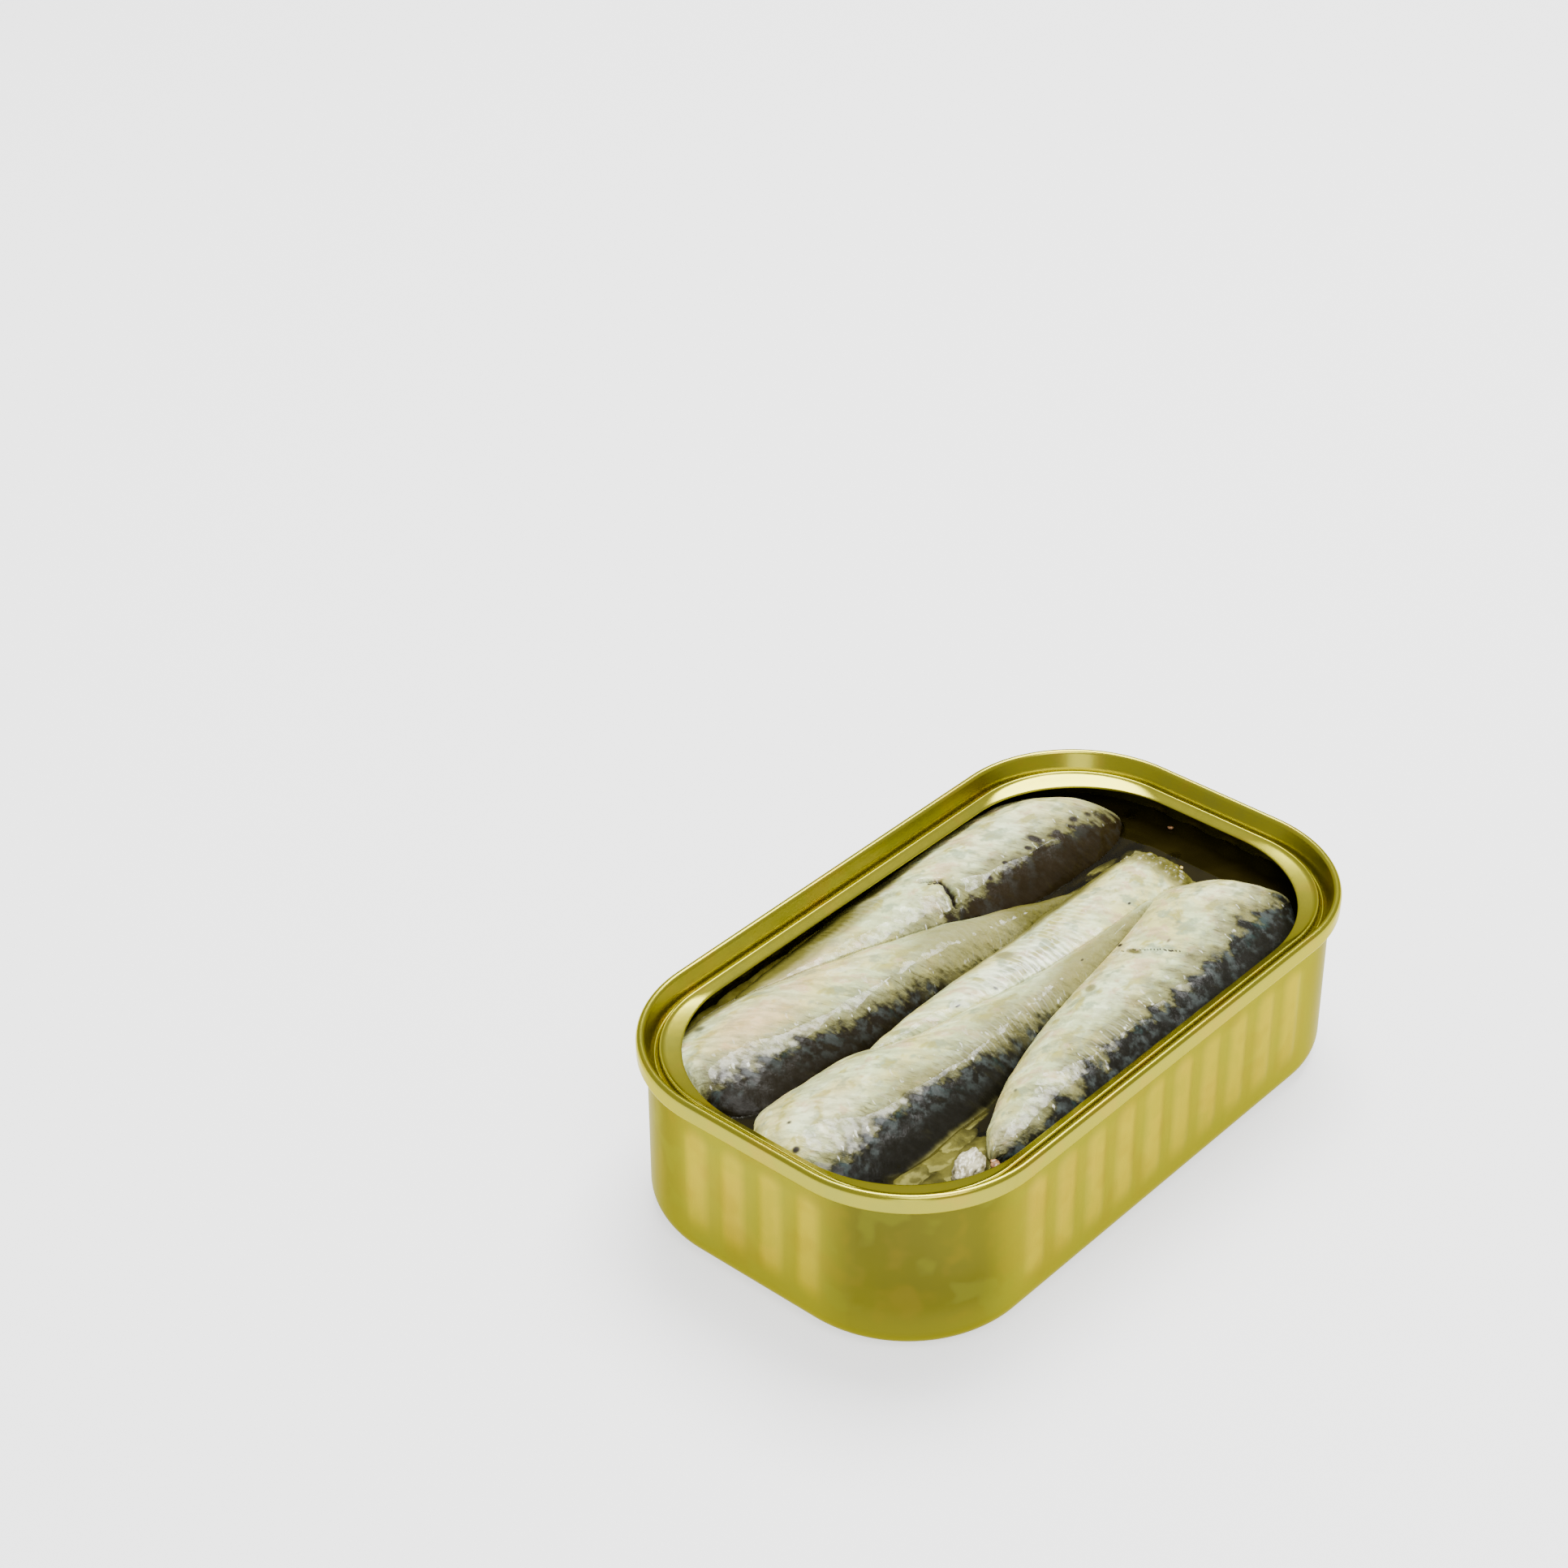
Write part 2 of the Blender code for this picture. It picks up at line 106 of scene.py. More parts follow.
# Body wall: steps, columns and rows of its mesh, and the lengths over which a flute rises and fades out
FOOT_STEPS = 10
WALL_CORNER_STEPS = 30
LONG_FLUTES = 10
SHORT_FLUTES = 4
FLUTE_COLUMNS = 13
FLUTE_RISE = 4.5 * MM
FLUTE_RISE_ROWS_END = 3.5 * MM
FLUTE_EDGE = 0.5 * MM
FOOT_ROWS = 7
STRAIGHT_ROWS = 5
ARCH_ROWS = 18

# Oil surface: its grid, how far it climbs the wall and the fish, and its ripple
OIL_CELL = 0.5 * MM
WALL_CLIMB = 0.1 * MM
FISH_CLIMB = 0.03 * MM
OIL_RIPPLE = 0.02 * MM

# Fish meshes: rings along each fish, sides of each ring, and the share of the sides on its upper skin
FISH_RINGS = 290
FISH_SIDES = 200
UPPER_SHARE = 0.75

# Fish sections: lowest height, tail rounding and gap between two fish in millimetres, and plain ratios
FISH_FLOOR = 3.6
TAIL_ROUNDING = 4.0
SKIN_GAP = 0.12
THICKEST_PER_WIDTH = 0.7
UPPER_KEEL_POWER = 0.9
LOWER_KEEL_POWER = 0.6

# Rows of scales, raised, and painted as stripes of shade and highlight: radians per millimetre, and how they
# bow round a line on the flank
SCALE_ROWS = 5.9
SCALE_BOW = 0.09
SCALE_BOW_CENTRE = 9.0

# Room that the fish and the sunk bits leave below the ledge and beside the wall, in metres
LEDGE_REACH = 5.2 * MM
CEILING = 24.7 * MM
CEILING_UNDER_LEDGE = 23.8 * MM
WALL_CLEARANCE = 0.3 * MM
BIT_CLEARANCE = 0.35 * MM

# Each fish lies on its side with its belly keel towards +Y. Lines are plan points from left to right in
# millimetres, the crown is the height of the ridge, and heights are those of the keel and the back.
# The dark back begins at dark_edge, a share of the way from back to keel, with teeth along it.
# Brown is how brown the back is. Marks and scales are (x, share, half length, half share, strength). White
# marks are painted highlights.
# Ragged is where the torn end starts, and how rough it is.
FISH = {
    "sardine_1": {
        "keel": ((-34, 25.4), (-18, 26.8), (-8, 27.8), (10, 28.7), (30, 28.7), (37, 27.4), (41, 24),
                 (45.5, 16)),
        "back": ((-34, 23.6), (-20, 18), (-8, 13.5), (5, 10), (20, 8.2), (40, 8.2), (45.5, 10)),
        "crown": ((-34, 21.6), (-12, 23.2), (12, 24.4), (38, 24.4), (45.5, 22.4)),
        "heights": (20.8, 15.5),
        "head_at_left": False,
        "head_rounding": 5.0,
        "dark_edge": ((-34, 0.02), (0, 0.16), (8, 0.24), (16, 0.27), (30, 0.29), (42, 0.28), (45.5, 0.3)),
        "teeth": 0.9,
        "brown": 0.85,
        "peach": ((-18, 0.55, 9, 0.16, 0.8),),
        "olive": ((-28, 0.92, 11, 0.4, 1.0), (-17, 0.92, 11, 0.35, 1.0), (-7, 0.93, 10, 0.28, 1.0),
                  (3, 0.98, 8, 0.16, 0.9)),
        "dark": ((28, 0.37, 0.9, 0.08, 0.75), (25.6, 0.33, 0.6, 0.035, 0.8), (31.5, 0.32, 0.8, 0.03, 0.8),
                 (36, 0.34, 1.0, 0.035, 0.7), (20.5, 0.33, 0.5, 0.025, 0.8), (16.5, 0.3, 0.6, 0.03, 0.7),
                 (39, 0.34, 0.8, 0.04, 0.6)),
        "white": ((-3, 0.8, 8, 0.07, 0.9), (24, 0.6, 16, 0.2, 0.45)),
        "scales": ((-5, 0.8, 9, 0.12, 1.0),),
    },
    "sardine_2": {
        "keel": ((-45.5, 19.5), (-42, 24.0), (-34, 26.0), (-18, 23.7), (-8, 20.4), (2, 16.4), (12, 11.4),
                 (19, 8.4), (27, 6.4)),
        "back": ((-45.5, 8), (-40, 5.4), (-30, 4.6), (0, 4.0), (15, 4.0), (27, 5.0)),
        "crown": ((-45.5, 23.0), (-30, 24.5), (0, 24.0), (12, 22.8), (27, 20.4)),
        "heights": (21.6, 16.0),
        "head_at_left": True,
        "head_rounding": 5.0,
        "dark_edge": ((-45.5, 0.42), (-41, 0.38), (-36, 0.33), (-30, 0.28), (-22, 0.22), (-12, 0.19),
                      (-4, 0.17), (6, 0.1), (27, 0.02)),
        "teeth": 0.7,
        "brown": 0.45,
        "peach": ((-31, 0.6, 8, 0.2, 1.0), (-36, 0.5, 4, 0.1, 0.8), (-16, 0.75, 9, 0.15, 0.4)),
        "olive": ((20, 0.5, 10, 0.9, 1.0), (6, 0.45, 12, 0.5, 0.42), (-30, 0.97, 10, 0.05, 0.6)),
        "dark": ((-35.2, 0.9, 1.1, 0.05, 0.5), (-41.5, 0.43, 1.6, 0.05, 0.5), (-42.5, 0.5, 4.0, 0.2, 0.38)),
        "white": ((-38.8, 0.35, 1.6, 0.05, 1.0), (-42.5, 0.6, 2.5, 0.25, 0.4)),
        "scales": ((8, 0.45, 9, 0.35, 0.35),),
    },
    "sardine_3": {
        "keel": ((-26, 3.4), (-18, 4.2), (0, 4.7), (20, 4.7), (40, 5.2)),
        "back": ((-26, 2.2), (-10, -4), (5, -9), (20, -11), (40, -8)),
        "crown": ((-26, 22.8), (0, 23.6), (25, 23.6), (40, 22.8)),
        "heights": (22.2, 17.0),
        "head_at_left": False,
        "head_rounding": 2.5,
        "dark_edge": ((-26, 0.0), (40, 0.0)),
        "teeth": 0.4,
        "brown": 0.3,
        "peach": ((12, 0.33, 9, 0.06, 0.5),),
        "olive": ((38.4, 0.5, 3.8, 0.7, 0.9), (22, 0.99, 22, 0.08, 0.9), (18, 0.2, 18, 0.12, 0.4),
                  (4, 0.8, 1.2, 0.12, 0.5)),
        "dark": ((-9.2, 0.45, 0.5, 0.02, 0.8), (-2.8, 0.43, 0.35, 0.05, 0.6), (25, 0.44, 0.4, 0.015, 0.8)),
        "white": ((4, 0.58, 12, 0.2, 0.9), (26, 0.65, 8, 0.15, 0.4)),
        "scales": ((4.5, 0.5, 9, 0.2, 1.0), (14, 0.75, 8, 0.15, 0.5)),
        "ragged": (33.0, 0.55),
    },
    "sardine_4": {
        "keel": ((-48.8, 3.5), (-43, 5.8), (-34, 5.6), (-25, 4.6), (-20, 2.2), (-14, 0.6), (-5, -1.2),
                 (5, -3.0), (30, -4.8)),
        "back": ((-48.8, -10), (-42, -14.6), (-25, -15.8), (-10, -14), (5, -11.8), (30, -6.6)),
        "crown": ((-48.8, 23.4), (-30, 24.5), (-5, 24.3), (10, 24.0), (30, 23.3)),
        "heights": (22.3, 16.2),
        "head_at_left": True,
        "head_rounding": 5.0,
        "dark_edge": ((-48.8, 0.2), (-44, 0.24), (-38, 0.33), (-30, 0.35), (-22, 0.33), (-14, 0.29),
                      (-6, 0.25), (2, 0.19), (12, 0.1), (30, 0.02)),
        "teeth": 0.8,
        "brown": 0.2,
        "peach": ((4, 0.4, 8, 0.12, 0.7), (-36, 0.7, 6, 0.15, 0.25)),
        "olive": ((14, 0.4, 15, 0.5, 0.42), (-8, 0.5, 9, 0.3, 0.22), (-26, 0.45, 7, 0.1, 0.2),
                  (-30, 0.02, 14, 0.05, 0.8)),
        "dark": ((-46.4, 0.5, 0.6, 0.04, 0.7), (-43.4, 0.72, 0.5, 0.02, 0.6), (-34, 0.49, 0.45, 0.03, 0.4),
                 (9.5, 0.5, 0.4, 0.03, 0.6), (17, 0.26, 0.4, 0.02, 0.7)),
        "white": ((-40, 0.6, 6, 0.2, 0.4), (-9, 0.42, 8, 0.12, 0.5)),
        "scales": ((-8, 0.4, 12, 0.15, 0.3),),
    },
    "sardine_5": {
        "keel": ((-28.5, -19.6), (-19, -15.6), (-9, -12.6), (1, -10), (11, -8), (21, -6.2), (29, -4.2),
                 (35, -5.6), (40, -9.8), (43.6, -16.5)),
        "back": ((-28.5, -24), (-20, -27.4), (-5, -28.7), (30, -28.7), (38, -26.4), (43.6, -21)),
        "crown": ((-28.5, 22.2), (-10, 24.0), (10, 24.5), (30, 24.5), (43.6, 23.2)),
        "heights": (22.6, 16.0),
        "head_at_left": False,
        "head_rounding": 5.0,
        "dark_edge": ((-28.5, 0.28), (-20, 0.33), (-10, 0.37), (0, 0.38), (15, 0.385), (28, 0.36), (36, 0.38),
                      (43.6, 0.4)),
        "teeth": 2.2,
        "brown": 0.15,
        "peach": ((-26, 0.5, 2.2, 0.3, 0.6), (12, 0.95, 8, 0.08, 0.4)),
        "olive": ((5.3, 0.86, 0.9, 0.035, 0.6), (15.8, 0.81, 0.55, 0.05, 1.0)),
        "dark": ((16.8, 0.94, 0.5, 0.02, 0.7), (20.6, 0.68, 0.8, 0.012, 0.5), (25, 0.7, 1.2, 0.02, 0.35),
                 (-18.3, 0.83, 0.5, 0.03, 0.5)),
        "white": ((-25, 0.5, 2.5, 0.2, 0.9), (36, 0.7, 5, 0.12, 0.5), (9, 0.7, 8, 0.15, 0.35)),
        "scales": ((-5, 0.45, 10, 0.08, 0.3),),
    },
}
# Peach, olive and dark are tints of the skin; white is painted highlight.
MARKS = ("peach", "olive", "dark", "white")

# The fish that lie over each fish
LIES_UNDER = {
    "sardine_1": ("sardine_2", "sardine_3"),
    "sardine_2": ("sardine_3", "sardine_4"),
    "sardine_3": ("sardine_4", "sardine_5"),
    "sardine_4": ("sardine_5",),
    "sardine_5": (),
}

# Tears in the skin: a line of (x, share), and its half width and depth in millimetres
TEARS = {
    "sardine_1": (
        (((9.0, 0.62), (10.9, 0.52), (10.3, 0.42), (8.9, 0.27)), 0.55, 1.3),
        (((9.0, 0.56), (10.6, 0.49)), 0.2, 0.4),
    ),
    "sardine_5": ((((15.4, 0.9), (16.6, 0.79), (19.6, 0.57)), 0.16, 0.3),),
}

# Loose flake of flesh at the front left, in millimetres
FLAKE_CENTRE = (-32.6, -21.0, 21.3)
FLAKE_HALF_SIZE = (3.4, 1.9, 1.7)
FLAKE_TURN = math.radians(24)

# Bits sunk in the oil: (x, y, z, half length, half width, half height), in millimetres
SUNK_BITS = (
    (-41.5, -17.4, 19.5, 3.0, 2.0, 0.6), (-37.0, -15.5, 19.6, 4.6, 2.2, 0.55),
    (-32.8, -15.9, 19.62, 4.4, 2.3, 0.5), (-28.0, -15.0, 19.6, 4.4, 2.2, 0.55),
    (-23.4, -13.9, 19.5, 4.0, 1.6, 0.6), (-19.0, -12.6, 19.4, 3.2, 0.8, 0.6),
    (-37.3, -19.0, 19.6, 4.4, 2.4, 0.5), (-32.6, -19.3, 19.5, 4.6, 2.4, 0.6),
    (-27.8, -18.4, 19.6, 4.0, 2.4, 0.5), (-36.0, -22.6, 19.5, 3.4, 2.2, 0.6),
    (-31.5, -24.0, 19.5, 4.0, 2.2, 0.6), (-27.2, -21.8, 19.5, 3.0, 2.6, 0.6),
    (-24.0, 5.0, 19.4, 2.6, 1.0, 0.7), (-18.3, 6.0, 19.4, 2.8, 1.0, 0.7),
    (-13.1, 6.6, 19.4, 2.8, 0.9, 0.7), (40.0, 6.6, 18.8, 3.0, 1.4, 0.7),
    (38.2, 2.0, 19.3, 2.0, 1.5, 0.7), (42.0, 1.0, 18.7, 2.4, 1.1, 0.6),
    (34.5, 7.6, 19.3, 3.6, 1.0, 0.7), (26.0, 6.8, 19.3, 4.8, 1.0, 0.7),
    (47.6, 12.5, 18.6, 1.6, 1.0, 0.6),
)

# Belly skin that floats beside the rear fish, just under the oil, painted paler as painted light where the
# ledge shades it: the same six values
FLOATING_SKIN = (
    (-30.0, 26.6, 19.5, 5.0, 2.2, 0.65), (-23.0, 27.1, 19.5, 5.5, 2.2, 0.65),
    (-15.5, 27.6, 19.5, 5.5, 1.9, 0.65), (-8.0, 28.0, 19.5, 5.5, 1.6, 0.65),
    (-0.5, 28.3, 19.5, 5.0, 1.3, 0.6), (6.0, 28.5, 19.5, 4.0, 1.0, 0.6),
)

# Crumbs that lie on what they touch: (x, y, z, size), in millimetres, by colour
GOLD_CRUMBS = (
    (20.2, 9.9, 19.7, 0.42), (21.4, 9.6, 19.6, 0.3), (24.6, 9.5, 19.7, 0.5),
    (26.8, 9.7, 19.9, 0.34), (29.1, 9.4, 19.8, 0.26), (31.4, 9.8, 20.0, 0.3),
    (-16.0, 4.9, 20.6, 0.6), (-13.6, 4.4, 20.5, 0.5), (-18.4, 5.2, 20.6, 0.4),
    (39.4, -0.6, 20.6, 0.55), (41.0, -1.7, 20.6, 0.4),
)
BROWN_CRUMBS = (
    (-29.6, -23.2, 21.0, 0.95), (-28.9, -22.2, 20.9, 0.5), (-30.9, -24.3, 20.7, 0.5),
    (16.3, -11.6, 24.3, 0.28), (48.3, 5.6, 20.6, 0.5), (-35.2, 24.6, 21.9, 0.35),
)
CRUMB_SEED = 7


def length_value(name, description, default):
    """Property for a length in metres."""
    return FloatProperty(name=name, description=description, unit="LENGTH", precision=5, default=default)


def colour_value(name, description, default):
    """Property for a colour."""
    return FloatVectorProperty(
        name=name, description=description, subtype="COLOR", default=default, min=0.0, max=1.0,
    )


class TinSizes(bpy.types.PropertyGroup):
    """Sizes of the tin, from the frame where it holds them."""

    length: length_value("Length", "Outer length of the rim", CAD_BOX[1].x - CAD_BOX[0].x)
    width: length_value("Width", "Outer width of the rim", CAD_BOX[1].y - CAD_BOX[0].y)
    height: length_value("Height", "Height from base to rim", CAD_BOX[1].z - CAD_BOX[0].z)
    corner_radius: length_value("Corner Radius", "Radius of the rim's corners", 20.5 * MM)
    sheet: length_value("Sheet", "Thickness of the tinplate", 0.3 * MM)
    wall_inset: length_value("Wall Inset", "How far the wall stands in from the rim", 1.45 * MM)
    seam_height: length_value("Seam Height", "Height of the double seam", 2.8 * MM)
    foot_radius: length_value("Foot Radius", "Radius between wall and base", 3.5 * MM)
    flute_depth: length_value("Flute Depth", "How far the upright flutes stand out of the wall", 0.35 * MM)
    long_flute_pitch: length_value("Long Flute Pitch", "Spacing of the flutes on the long sides", 6.4 * MM)
    short_flute_pitch: length_value(
        "Short Flute Pitch", "Spacing of the flutes on the short sides", 6.5 * MM,
    )
    flute_crest: length_value("Flute Crest", "Width of a flute's flat crest", 3.0 * MM)
    flute_base: length_value("Flute Base", "Width of a flute where it leaves the wall", 4.8 * MM)
    flute_foot: length_value("Flute Foot", "Height at which the flutes begin", 4.4 * MM)
    flute_head: length_value("Flute Head", "Height of the top of a flute's arch", 22.6 * MM)
    oil_level: length_value("Oil Level", "Height of the oil's surface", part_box("oil")[1].z)
    oil_clearing: length_value(
        "Oil Clearing", "Depth over which the oil hides most of what lies in it", 1.5 * MM,
    )


class FinishColours(bpy.types.PropertyGroup):
    """Colours of the tin, the fish and the oil."""

    gold: colour_value("Gold", "Lacquer on the wall between the flutes", (0.205, 0.190, 0.010))
    ring_gold: colour_value("Ring Gold", "Lacquer on the seam and the ledge", (0.285, 0.262, 0.02))
    # Lacquer on the crests is painted lighter than between the flutes: a painted highlight on the flutes.
    crest_painted_highlight: colour_value("Crest Gold", "Lacquer on the flutes' crests", (0.37, 0.295, 0.008))
    # Lacquer at the corners is painted darker: painted shade where the wall bends round.
    painted_corner_shade: colour_value(
        "Bend Gold", "Lacquer where the wall bends round a corner", (0.066, 0.061, 0.009),
    )
    silver: colour_value("Silver", "Brightest skin of a fish's flank", (0.54, 0.61, 0.30))
    cream: colour_value("Cream", "Warm skin of a fish's flank", (0.56, 0.53, 0.19))
    # The two colours below darken the flank towards the back: partly the skin's own colour, partly painted
    # shade.
    tan_and_painted_shade: colour_value("Warm Tan", "Lower flank, some way from the dark back", (0.15, 0.142, 0.035))
    edge_olive_and_painted_shade: colour_value("Edge Olive", "Flank next to the dark back", (0.075, 0.070, 0.022))
    peach: colour_value("Peach", "Warm tint of cooked flesh under the skin", (0.62, 0.40, 0.19))
    sunk_olive: colour_value("Sunk Olive", "Thin skin soaked in oil", (0.075, 0.068, 0.006))
    back_black: colour_value("Back Black", "Darkest part of the back", (0.0045, 0.005, 0.0035))
    back_slate: colour_value("Back Slate", "Grey blue of the back next to the flank", (0.040, 0.049, 0.046))
    back_brown: colour_value("Back Brown", "Back seen through a film of oil", (0.013, 0.008, 0.0018))
    # Near black: partly the oil's own depth, partly painted shade under the ledge and in the grooves.
    deep_oil_and_painted_shade: colour_value("Deep Oil", "Oil where it is deep", (0.006, 0.0045, 0.0007))
    clear_oil: colour_value("Clear Oil", "Tint of a thin layer of oil", (0.68, 0.66, 0.34))


class StageSettings(bpy.types.PropertyGroup):
    """Floor, light and world."""

    floor_colour: FloatVectorProperty(
        name="Floor", description="Colour of the floor", subtype="COLOR", default=(0.6, 0.6, 0.6),
        min=0.0, max=1.0,
    )
    floor_glow: FloatProperty(
        name="Floor Glow", description="Strength of the floor's own light, as of a lit sweep", default=1.3,
        min=0.0,
    )
    world_strength: FloatProperty(
        name="World", description="Strength of the even light from all round", default=0.9, min=0.0,
    )
    key_power: FloatProperty(
        name="Key", description="Power of the large lamp behind and to the right", unit="POWER", default=26.0,
    )
    fill_power: FloatProperty(
        name="Fill", description="Power of the lamp above the camera", unit="POWER", default=6.0,
    )
    front_power: FloatProperty(
        name="Front", description="Power of the low lamp at the front", unit="POWER", default=0.6,
    )
    crumb_seed: IntProperty(
        name="Crumb Seed", description="Seed of the crumbs' uneven shapes", default=CRUMB_SEED,
    )


class Amount:
    """A value that varies over a surface. Its operators add Math nodes to the finish."""

    def __init__(self, finish, socket):
        self.finish = finish
        self.socket = socket

    def __add__(self, other):
        return self.finish.maths("ADD", self, other)

    __radd__ = __add__

    def __sub__(self, other):
        return self.finish.maths("SUBTRACT", self, other)

    def __rsub__(self, other):
        return self.finish.maths("SUBTRACT", other, self)

    def __mul__(self, other):
        return self.finish.maths("MULTIPLY", self, other)

    def ramp(self, low, high):
        """Smooth step from 0 at low to 1 at high."""
        return self.finish.node(
            "ShaderNodeMapRange", {"interpolation_type": "SMOOTHSTEP"},
            {"Value": self, "From Min": low, "From Max": high},
        )


class Finish:
    """A material, built from values, expressions on them and other nodes."""

    def __init__(self, name, **constants):
        self.material = bpy.data.materials.new(name)
        self.material.use_nodes = True
        self.tree = self.material.node_tree
        self.shader = self.tree.nodes["Principled BSDF"]
        for words, value in constants.items():
            self.plug(value, self.shader.inputs[words.replace("_", " ").title().replace("Ior", "IOR")])

    def plug(self, value, socket):
        """Link a varying value to a socket, or set a constant on it."""
        if isinstance(value, Amount):
            self.tree.links.new(value.socket, socket)
        elif socket.type == "RGBA":
            socket.default_value = (*value[:3], 1.0)
        else:
            socket.default_value = value

    def node(self, kind, settings=None, inputs=None, output=0):
        """Add a node, set it up and return one of its outputs."""
        node = self.tree.nodes.new(kind)
        for key, value in (settings or {}).items():
            setattr(node, key, value)
        for key, value in (inputs or {}).items():
            self.plug(value, node.inputs[key])
        return Amount(self, node.outputs[output])

    def maths(self, operation, first, second):
        """One Math node."""
        return self.node("ShaderNodeMath", {"operation": operation}, {0: first, 1: second})

    def blend(self, factor, first, second):
        """Colour between two colours."""
        settings = {"data_type": "RGBA", "clamp_factor": True}
        return self.node("ShaderNodeMix", settings, {0: factor, 6: first, 7: second}, output=2)

    def attribute(self, name, output="Fac"):
        """Value painted on the mesh."""
        return self.node("ShaderNodeAttribute", {"attribute_name": name}, output=output)

    def parts(self, value):
        """X, Y and Z of a vector."""
        split = self.tree.nodes.new("ShaderNodeSeparateXYZ")
        self.plug(value, split.inputs[0])
        return [Amount(self, output) for output in split.outputs]

    def vector(self, x, y, z):
        """Vector from three values."""
        return self.node("ShaderNodeCombineXYZ", inputs={0: x, 1: y, 2: z})

    def place(self):
        """Place on the object, in metres."""
        return self.node("ShaderNodeTexCoord", output="Object")

    def noise(self, place, scale=1.0, detail=2.0, roughness=0.5):
        """Noise between 0 and 1."""
        inputs = {"Vector": place, "Scale": scale, "Detail": detail, "Roughness": roughness}
        return self.node("ShaderNodeTexNoise", inputs=inputs)

    def bump(self, height, distance, strength=1.0):
        """Feed the shader's normal from a height."""
        inputs = {"Strength": strength, "Distance": distance, "Height": height}
        self.set("Normal", self.node("ShaderNodeBump", inputs=inputs))

    def set(self, name, value):
        """Feed one of the shader's own sockets."""
        self.plug(value, self.shader.inputs[name])


def step(value, low, high):
    """Smooth step from 0 at low to 1 at high, on arrays."""
    t = np.clip((value - low) / (high - low), 0.0, 1.0)
    return t * t * (3 - 2 * t)


def hermite(t, start, end, slope_in, slope_out):
    """Smooth curve from start to end for t from 0 to 1, with the slopes there for the whole span."""
    first = start * (1 + 2 * t) * (1 - t) ** 2 + slope_in * t * (1 - t) ** 2
    return first + (end * t * t * (3 - 2 * t) - slope_out * t * t * (1 - t))


def smooth_line(points, x):
    """Smooth curve through plan points, read at every x."""
    places, values = (np.array(part, dtype=float) for part in zip(*points))
    slopes = np.gradient(values, places)
    index = np.clip(np.searchsorted(places, x) - 1, 0, len(places) - 2)
    span = places[index + 1] - places[index]
    t = np.clip((x - places[index]) / span, 0.0, 1.0)
    slope_in, slope_out = slopes[index] * span, slopes[index + 1] * span
    return hermite(t, values[index], values[index + 1], slope_in, slope_out)


def end_size(distance, rounding):
    """Size of the section near an end that is rounded off over a length."""
    left = 1 - np.clip(distance / rounding, 0.0, 1.0)
    return (1 - left ** 2.4) ** (1 / 2.4)


def section_shape(share, keel_power):
    """Height of half a section over its chord: 0 at the back, 1 at its fullest and 0 at the keel."""
    fullest = 0.5 / (0.5 + keel_power)
    peak = fullest ** 0.5 * (1 - fullest) ** keel_power
    return share ** 0.5 * np.maximum(1 - share, 0.0) ** keel_power / peak


def uneven(places, length):
    """Smooth noise between -1 and 1 whose bumps are about the length apart."""
    return np.array([noise.noise(place) for place in (places / length).tolist()])


